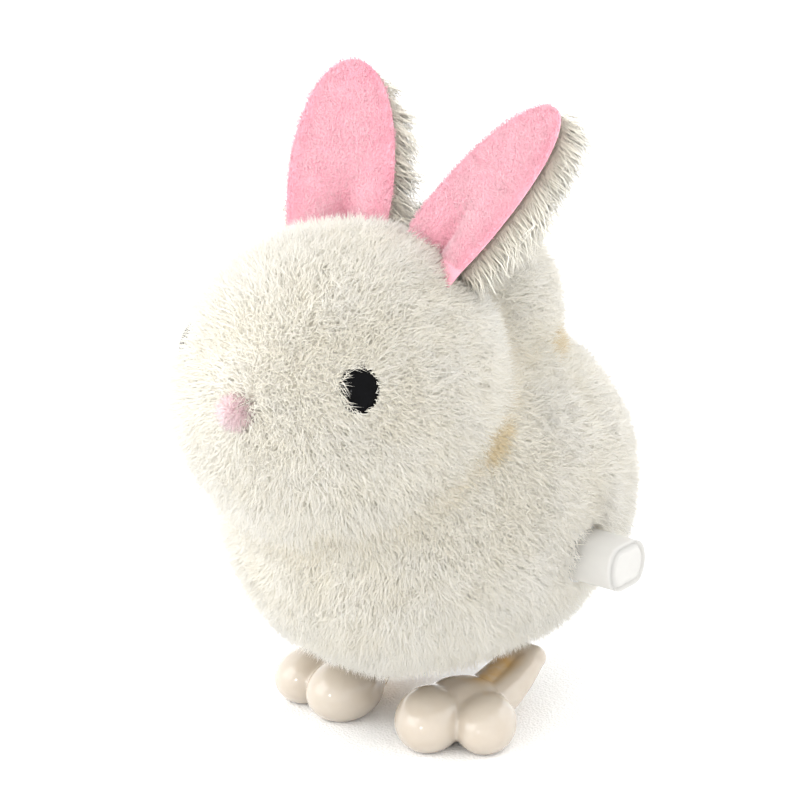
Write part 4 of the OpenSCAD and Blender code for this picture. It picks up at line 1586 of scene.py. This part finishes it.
@dataclass(frozen=True)
class Tail:
    """A pompom of long pile.

    Args:
        radius: reach of its tips, in millimetres.
        core: radius of the tied middle.
        seat: how far its middle lies beyond the body's back.
        drop: angle of its line below level, in degrees.
    """

    radius: float = 6.3
    core: float = 2.9
    seat: float = 1.2
    drop: float = 18.0

    @property
    def middle(self) -> Array:
        """Its middle in metres."""
        out = -bearing(0.0, self.drop)
        return BODY.middle + out * (BODY.back + self.seat) * MM

    def build(self) -> tuple[bpy.types.Object, bpy.types.Object]:
        """The tied core and its pile."""
        core = ball(self.middle, self.core)
        grid = core.cap(np.array([0.0, 1.0, 0.1]), everywhere, 24, 40)
        reach = self.radius - self.core + 0.3
        puff = Pile(34.0, reach, 0.085, 0.12, 0.22, 0.16, 1.6, 0.08, seed=41)
        points, normals = core.scatter(puff.density, np.random.default_rng(41))
        strands = puff.grow(points, normals, np.broadcast_to([0.2, 0.3, -0.9], points.shape))
        return tube("tail_core", grid), puff.mesh("tail_pompom", strands)


# ---------------------------------------------------------------- knob and feet
def knob_line() -> tuple[float, float, float, float]:
    """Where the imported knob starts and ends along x, and its line's y and z, in millimetres."""
    low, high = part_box("winding_knob")
    return low.x / MM, high.x / MM, (low.y + high.y) / 2 / MM, (low.z + high.z) / 2 / MM


@dataclass(frozen=True)
class Knob:
    """The winding knob: a round barrel with two thumb flats and soft edges.

    Args:
        diameter: of the barrel, in millimetres.
        flat: thickness across the flats.
        length: from its foot to its end.
        edge: radius of the rounding at both ends.
        blend: power of the corner between barrel and flat: a higher one is sharper.
        draft: how much the radius loses from the foot to the end.
        dish: how deep the end is, as a share, at each distance in from the outline.
    """

    diameter: float = 8.8
    flat: float = 7.0
    length: float = 8.5
    edge: float = 0.55
    blend: float = 14.0
    draft: float = 0.03
    dish: tuple[tuple[float, float], ...] = (
        (0.0, 1.0), (0.1, 1.6), (0.3, 2.2), (0.4, 2.8), (0.4, 3.3)
    )

    def build(self) -> bpy.types.Object:
        """Rings along the shaft's line.

        A ring's radius is the smaller of the barrel's and the flat's, blended by a high
        power, and shrinks over a quarter circle at each end. The barrel has a slight draft,
        and the outer end is dished.
        """
        start, _, axis_y, axis_z = knob_line()
        turn = circle(128)
        round_r, flat_r = self.diameter / 2, self.flat / 2
        power = (1 / round_r) ** self.blend + (np.abs(np.sin(turn)) / flat_r) ** self.blend
        outline = power ** (-1 / self.blend)
        bend = np.linspace(0, math.pi / 2, 8)
        foot = [(self.edge * (1 - math.cos(b)), self.edge * (1 - math.sin(b))) for b in bend]
        side = [
            (x, self.draft * (x / self.length)) for x in np.linspace(1.0, self.length - 1.0, 14)
        ]
        top = [
            (
                self.length - self.edge * (1 - math.sin(math.pi / 2 - b)),
                self.draft + self.edge * (1 - math.cos(b)),
            )
            for b in bend
        ]
        dish = [(self.length - 0.02 - 0.22 * depth, cut) for depth, cut in self.dish]
        profile = np.array([(0.0, 2.4), (0.0, 1.2), *foot, *side, *top, *dish])
        radius = np.maximum(outline[None, :] - profile[:, 1:], 0.15)
        rings = np.stack(
            [
                np.broadcast_to(start + profile[:, :1], radius.shape),
                axis_y + radius * np.cos(turn),
                axis_z + radius * np.sin(turn),
            ],
            axis=-1,
        )
        return tube("winding_knob_moulding", rings * MM)


@dataclass(frozen=True)
class Lobe:
    """A rounded form in a foot: its middle and half sizes, in the foot's own millimetres."""

    centre: tuple[float, float, float]
    half: tuple[float, float, float]

    def distance(self, points: Array) -> Array:
        """About how far points are outside it: its level less one, times its least half size."""
        scaled = (points - np.array(self.centre)) / np.array(self.half)
        return (np.linalg.norm(scaled, axis=-1) - 1.0) * min(self.half)


@dataclass(frozen=True)
class Foot:
    """A glossy moulded foot: two toes, a sole, and an arm up to the axle.

    Args:
        side: 1 for the left foot, -1 for the right.
        middle: the toes' middle, across and along the rabbit, in millimetres.
        splay: angle in degrees that the foot points outwards.
        toes: the two toes, inner first.
        sole: the form that joins them behind.
        crease: softness of the crease between toes.
        hinge: place of the axle along and up.
        plate: inner and outer face of the leg plate, across the rabbit.
        heel: outer end of the arm's boss, across the rabbit.
        voxel: size of the finished skin's faces.
    """

    side: int
    middle: tuple[float, float] = (12.3, -12.0)
    splay: float = 18.0
    toes: tuple[Lobe, Lobe] = (
        Lobe((-4.1, 0.0, 4.1), (5.2, 6.6, 4.9)),
        Lobe((4.4, 0.7, 3.7), (4.7, 6.1, 4.45)),
    )
    sole: Lobe = Lobe((0.3, 5.2, 4.4), (6.5, 5.8, 4.45))
    crease: float = 0.3
    hinge: tuple[float, float] = (6.5, 8.4)
    plate: tuple[float, float] = (7.3, 9.1)
    heel: float = 15.2
    voxel: float = 0.24

    @property
    def label(self) -> str:
        """Which foot it is."""
        return "left" if self.side > 0 else "right"

    def toes_skin(self) -> bpy.types.Object:
        """The toes and sole as one star-shaped skin.

        Along each ray from the foot's middle, halving finds where the blended distance is 0.
        The blend is minus the softness times the log of the summed exponentials of minus
        each lobe's distance over the softness. Below the floor, points are set on it.
        """
        rows, columns = 150, 220
        polar = (np.arange(rows) + 0.5) / rows * math.pi
        turn = circle(columns)
        rays = np.stack(
            [
                np.sin(polar)[:, None] * np.cos(turn),
                np.sin(polar)[:, None] * np.sin(turn),
                np.broadcast_to(np.cos(polar)[:, None], (rows, columns)),
            ],
            axis=-1,
        )
        origin = np.array([0.0, 1.0, 3.2])
        lobes = (*self.toes, self.sole)
        low, high = np.zeros((rows, columns)), np.full((rows, columns), 14.0)
        for _ in range(26):
            half = (low + high) / 2
            at = origin + rays * half[..., None]
            total = sum(np.exp(-lobe.distance(at) / self.crease) for lobe in lobes)
            inside = -self.crease * np.log(np.maximum(total, 1e-30)) < 0
            low, high = np.where(inside, half, low), np.where(inside, high, half)
        local = origin + rays * low[..., None]
        local[..., 2] = np.maximum(local[..., 2], 0.0)
        turned = math.radians(self.splay)
        cos, sin = math.cos(turned), math.sin(turned)
        x = self.middle[0] + local[..., 0] * cos - local[..., 1] * sin
        y = self.middle[1] + local[..., 0] * sin + local[..., 1] * cos
        return tube("toes", np.stack([x * self.side, y, local[..., 2]], axis=-1) * MM)

    def rod(self, name: str, points: Array, radii: Array, flatten: float = 1.0) -> bpy.types.Object:
        """A round-ended rod along points, with a radius at each and half-ball ends."""
        bend = np.linspace(0.05, 1.0, 6) * math.pi / 2
        first, last = unit(points[0] - points[1]), unit(points[-1] - points[-2])
        starts = [points[0] + first * radii[0] * math.cos(b) for b in bend]
        ends = [points[-1] + last * radii[-1] * math.cos(b) for b in bend[::-1]]
        path = np.concatenate([starts, points[1:-1], ends])
        swell = np.sin(bend)
        size = np.concatenate([radii[0] * swell, radii[1:-1], radii[-1] * swell[::-1]])
        way = unit(np.gradient(path, axis=0))
        side = unit(np.cross(way, np.broadcast_to([0.0, 0.3, 1.0], way.shape)))
        up = np.cross(side, way)
        turn = circle(40)[None, :, None]
        ring = np.cos(turn) * side[:, None] + np.sin(turn) * flatten * up[:, None]
        rings = (path[:, None] + ring * size[:, None, None]) * np.array([self.side, 1.0, 1.0])
        return tube(name, rings * MM)

    def arm_skin(self) -> list[bpy.types.Object]:
        """The arm from the sole up to the axle, the web that fills the space between the arm and
        the leg plate, and the boss that the axle is pressed into."""
        share = np.linspace(0, 1, 24)[:, None]
        y, z = self.hinge
        made = []
        for name, start, knee, end, radii in (
            ("arm", (12.6, -8.5, 4.0), (13.4, -0.6, 4.2), (13.0, y, z - 0.2), (4.0, 3.1, 2.0)),
            ("web", (11.5, -9.0, 4.4), (10.5, -2.0, 5.3), (10.0, y, z - 0.3), (3.8, 2.9, 1.8)),
        ):
            start, knee, end = (np.array(point) for point in (start, knee, end))
            path = (1 - share) ** 2 * start + 2 * share * (1 - share) * knee + share**2 * end
            made.append(self.rod(name, path, np.interp(share[:, 0], [0, 0.5, 1], radii), 0.9))
        across = np.linspace(self.plate[0] + 1.2, self.heel - 1.9, 8)
        boss = np.stack([across, np.full(8, self.hinge[0]), np.full(8, self.hinge[1])], axis=1)
        return [*made, self.rod("boss", boss, np.full(8, 1.9))]

    def build(self) -> bpy.types.Object:
        """The whole moulding below the plate."""
        parts = [self.toes_skin(), *self.arm_skin()]
        return fuse(f"foot_{self.label}_moulding", parts, self.voxel * MM, 5)

    def leg_plate(self) -> bpy.types.Object:
        """The flat plate that the crank pin works in: a ring round the window and a bar to
        the axle, as one star-shaped outline with bevelled edges.

        The outer reach is the larger of the ring's radius and of the bar's, which is its half
        width over the sine of the angle to it, up to its end.
        """
        crank, window, rim, half = (-4.0, 18.2), 3.2, 1.2, 2.1
        run = np.array([self.hinge[0] - crank[0], self.hinge[1] - crank[1]])
        length, bearing = np.linalg.norm(run) + half * 0.6, math.atan2(run[1], run[0])
        spans = ((0.0, 0.15, 14), (0.16, 0.52, 20), (0.55, math.pi, 40))
        turn = np.concatenate([np.linspace(*span) for span in spans])
        turn = np.concatenate([turn, 2 * math.pi - turn[-2:0:-1]])
        bar = np.where(np.cos(turn) > 0, half / np.maximum(np.abs(np.sin(turn)), 1e-6), 0.0)
        outer = np.maximum(window + rim, np.minimum(bar, length / np.maximum(np.cos(turn), 0.2)))
        inner = np.full(len(turn), window)
        bevel, (x0, x1) = 0.2, self.plate
        rows = [
            (x0, inner + bevel), (x0 + bevel, inner), (x1 - bevel, inner), (x1, inner + bevel),
            (x1, outer - bevel), (x1 - bevel, outer), (x0 + bevel, outer), (x0, outer - bevel),
            (x0, inner + bevel),
        ]
        angle = turn + bearing
        (cos, sin), full = (np.cos(angle), np.sin(angle)), np.ones(len(turn))
        rings = np.stack(
            [
                np.stack([x * self.side * full, crank[0] + r * cos, crank[1] + r * sin], axis=-1)
                for x, r in rows
            ]
        )
        piece = tube(f"leg_{self.label}_plate", rings * MM, False, False)
        weld = piece.modifiers.new("weld", "WELD")
        weld.merge_threshold = WELD_GAP
        finish_modifiers(piece)
        piece.data.polygons.foreach_set("use_smooth", np.zeros(len(piece.data.polygons), bool))
        return piece


# ---------------------------------------------------------------- motor and studio
class Motor:
    """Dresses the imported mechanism, whose shapes are right as they are."""

    SLOTS = {
        "washer_nylon": NYLON,
        "ivory_plastic": IVORY,
        "white_plastic": KNOB_WHITE,
        "housing_plastic": HOUSING,
        "motor_plastic": MOTOR_CASE,
        "gear_plastic": GEAR,
        "brass": BRASS,
        "spring_steel": BLUED,
        "steel": STEEL,
    }

    def dress(self) -> None:
        """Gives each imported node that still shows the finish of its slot."""
        made = {}
        for part in frame["record"]["subparts"]:
            node = frame["nodes"][part["node"]]
            if node.hide_render:
                continue
            slot = part["material_slot"]
            made.setdefault(slot, self.SLOTS[slot].material())
            dress(node, made[slot])
            log.info("%s: %s", node.name, slot)


@dataclass(frozen=True)
class Studio:
    """A pale floor, soft lights and the camera.

    Args:
        azimuth, elevation: the camera's place round the rabbit, in degrees.
        distance: from the camera to what it looks at, in metres.
        aim: what it looks at, in millimetres.
        lens: focal length, in millimetres.
        sensor: width of the camera's sensor, in millimetres.
        light_distance: from a light to what it points at, in metres.
        light_height: height of what the lights point at, in millimetres.
        world: strength of the light from all round.
        floor_half: half the floor's width, in metres.
        floor_gap: how far the floor lies under the feet, in millimetres.
    """

    azimuth: float = 37.2
    elevation: float = 21.0
    distance: float = 0.9
    aim: tuple[float, float, float] = (-3.85, -4.63, 49.76)
    lens: float = 270.0
    sensor: float = 36.0
    light_distance: float = 0.6
    light_height: float = 45.0
    world: float = 1.6
    floor_half: float = 3.0
    floor_gap: float = 0.02

    def back(self) -> Vector:
        """Unit vector from what the camera looks at to the camera."""
        return Vector(bearing(self.azimuth, self.elevation))

    @staticmethod
    def aim_along(thing: bpy.types.Object, way: Vector) -> None:
        """Turns a camera or a light to look along a vector."""
        thing.rotation_mode = "QUATERNION"
        thing.rotation_quaternion = way.to_track_quat("-Z", "Y")

    def camera(self) -> None:
        """The camera, made the scene's own."""
        data = bpy.data.cameras.new("camera")
        data.lens, data.sensor_width = self.lens, self.sensor
        data.clip_start, data.clip_end = 0.01, 20.0
        camera = bpy.data.objects.new("camera", data)
        bpy.context.scene.collection.objects.link(camera)
        camera.location = Vector(self.aim) * MM + self.back() * self.distance
        self.aim_along(camera, -self.back())
        bpy.context.scene.camera = camera

    def light(
        self, name: str, azimuth: float, elevation: float, size: float, power: float
    ) -> None:
        """A square soft white light that points at the rabbit."""
        data = bpy.data.lights.new(name, "AREA")
        data.shape, data.size, data.energy = "SQUARE", size, power
        light = bpy.data.objects.new(name, data)
        bpy.context.scene.collection.objects.link(light)
        way = Vector(bearing(azimuth, elevation))
        light.location = Vector((0, 0, self.light_height * MM)) + way * self.light_distance
        self.aim_along(light, -way)

    def floor(self) -> None:
        """A wide pale sheet that the rabbit stands on."""
        corners = np.array([(-1.0, -1.0), (1.0, -1.0), (1.0, 1.0), (-1.0, 1.0)]) * self.floor_half
        points = np.insert(corners, 2, -self.floor_gap * MM, axis=1)
        floor = make_piece("floor", points, [np.array([[0, 1, 2, 3]])])
        dress(floor, FLOOR_PAPER.material())

    def build(self) -> None:
        """The whole studio."""
        scene = bpy.context.scene
        world = bpy.data.worlds.new("studio")
        scene.world = world
        world.use_nodes = True
        sky = world.node_tree.nodes["Background"]
        sky.inputs["Color"].default_value = (1.0, 1.0, 1.0, 1.0)
        sky.inputs["Strength"].default_value = self.world
        scene.view_settings.view_transform = "Standard"
        self.floor()
        self.camera()
        self.light("key", -30.0, 30.0, 0.5, 1.7)
        self.light("rim", 150.0, 40.0, 0.5, 0.5)
        self.light("glint", 15.0, 12.0, 0.05, 0.3)


# ---------------------------------------------------------------- the whole toy
def body_flow(points: Array) -> Array:
    """The body's pile is brushed down and back from the neck."""
    away = unit(points - HEAD.middle)
    return unit(0.8 * away + np.array([0.0, 0.25, -0.75]))


def head_flow(points: Array) -> Array:
    """The head's pile is brushed back from the nose."""
    away = unit(points - Face().nose_middle())
    return unit(away + np.array([0.0, 0.15, -0.25]))


def build_plush(white: bpy.types.Material, cloth: bpy.types.Material) -> None:
    """The covers, their pile and the wadding inside them."""
    plush, face = Plush(), Face()
    for cover, node in (
        (plush.body_cover(), "body_plush"),
        (plush.head_cover(), "head_plush"),
        (plush.nape_cover(), "nape_plush"),
    ):
        place(cover, "root", cloth, [node])
    start, end, knob_y, knob_z = knob_line()
    knob = Keepout((start - 1.2, knob_y, knob_z), (end + 6, knob_y, knob_z), 4.75)
    legs = [
        Keepout((s * x0, y0, z0), (s * x1, y1, z1), radius)
        for (x0, y0, z0), (x1, y1, z1), radius in LEG_ROOM
        for s in (1, -1)
    ]
    eye = face.eye_middle() / MM
    x, y, z = eye + 0.9 * face.eye_line()
    eyes = [Keepout((s * x, y, z - 0.8), (s * x, y, z + 0.8), 2.3) for s in (1, -1)]
    bodies = plush.pile("body_pile", BODY, [HEAD, NAPE], [knob, *legs], body_flow, 11)
    heads = plush.pile("head_pile", HEAD, [BODY, NAPE], eyes, head_flow, 12)
    napes = plush.pile("nape_pile", NAPE, [BODY, HEAD], [], head_flow, 13)
    for piece in (*bodies, *heads, *napes):
        place(piece, "root", white)
    wadding = WADDING.material()
    for node, name in (("body_stuffing", "body_wadding"), ("head_stuffing", "head_wadding")):
        piece = place(Stuffing(node, name).build(), "root", wadding, [node])


def build_face_and_tail(white: bpy.types.Material, cloth: bpy.types.Material) -> None:
    """The eyes, the nose and the tail."""
    face, black = Face(), EYE_BLACK.material()
    for side, node in ((1, "eye_left"), (-1, "eye_right")):
        place(face.eye(side), "root", black, [node])
    core, tuft = face.nose_pieces()
    place(core, "root", NOSE_CLOTH.material(), ["nose"])
    place(tuft, "root", NOSE_PILE.material())
    core, pompom = Tail().build()
    place(core, "root", cloth, ["tail"])
    place(pompom, "root", white)


def main() -> None:
    """Builds every class in order."""
    logging.basicConfig(level=logging.INFO, format="%(name)s %(message)s")
    Studio().build()
    white, cloth = WHITE_PILE.material(), BACKING.material()
    pink, pink_cloth = PINK_PILE.material(), PINK_CLOTH.material()
    build_plush(white, cloth)
    for side in (1, -1):
        ear = Ear(side, splay=Ear.splay + 2.0 * (side > 0))
        EarMaker().build(ear, white, pink, cloth, pink_cloth)
    build_face_and_tail(white, cloth)
    place(Knob().build(), "winding", KNOB_WHITE.material(), ["winding_knob"])
    ivory = FOOT_IVORY.material()
    for side in (1, -1):
        foot = Foot(side, splay=Foot.splay + 9.0 * side)
        place(foot.build(), "legs", ivory, [f"foot_{foot.label}"])
        place(foot.leg_plate(), "legs", ivory)
    Motor().dress()


if __name__ == "__main__":
    main()
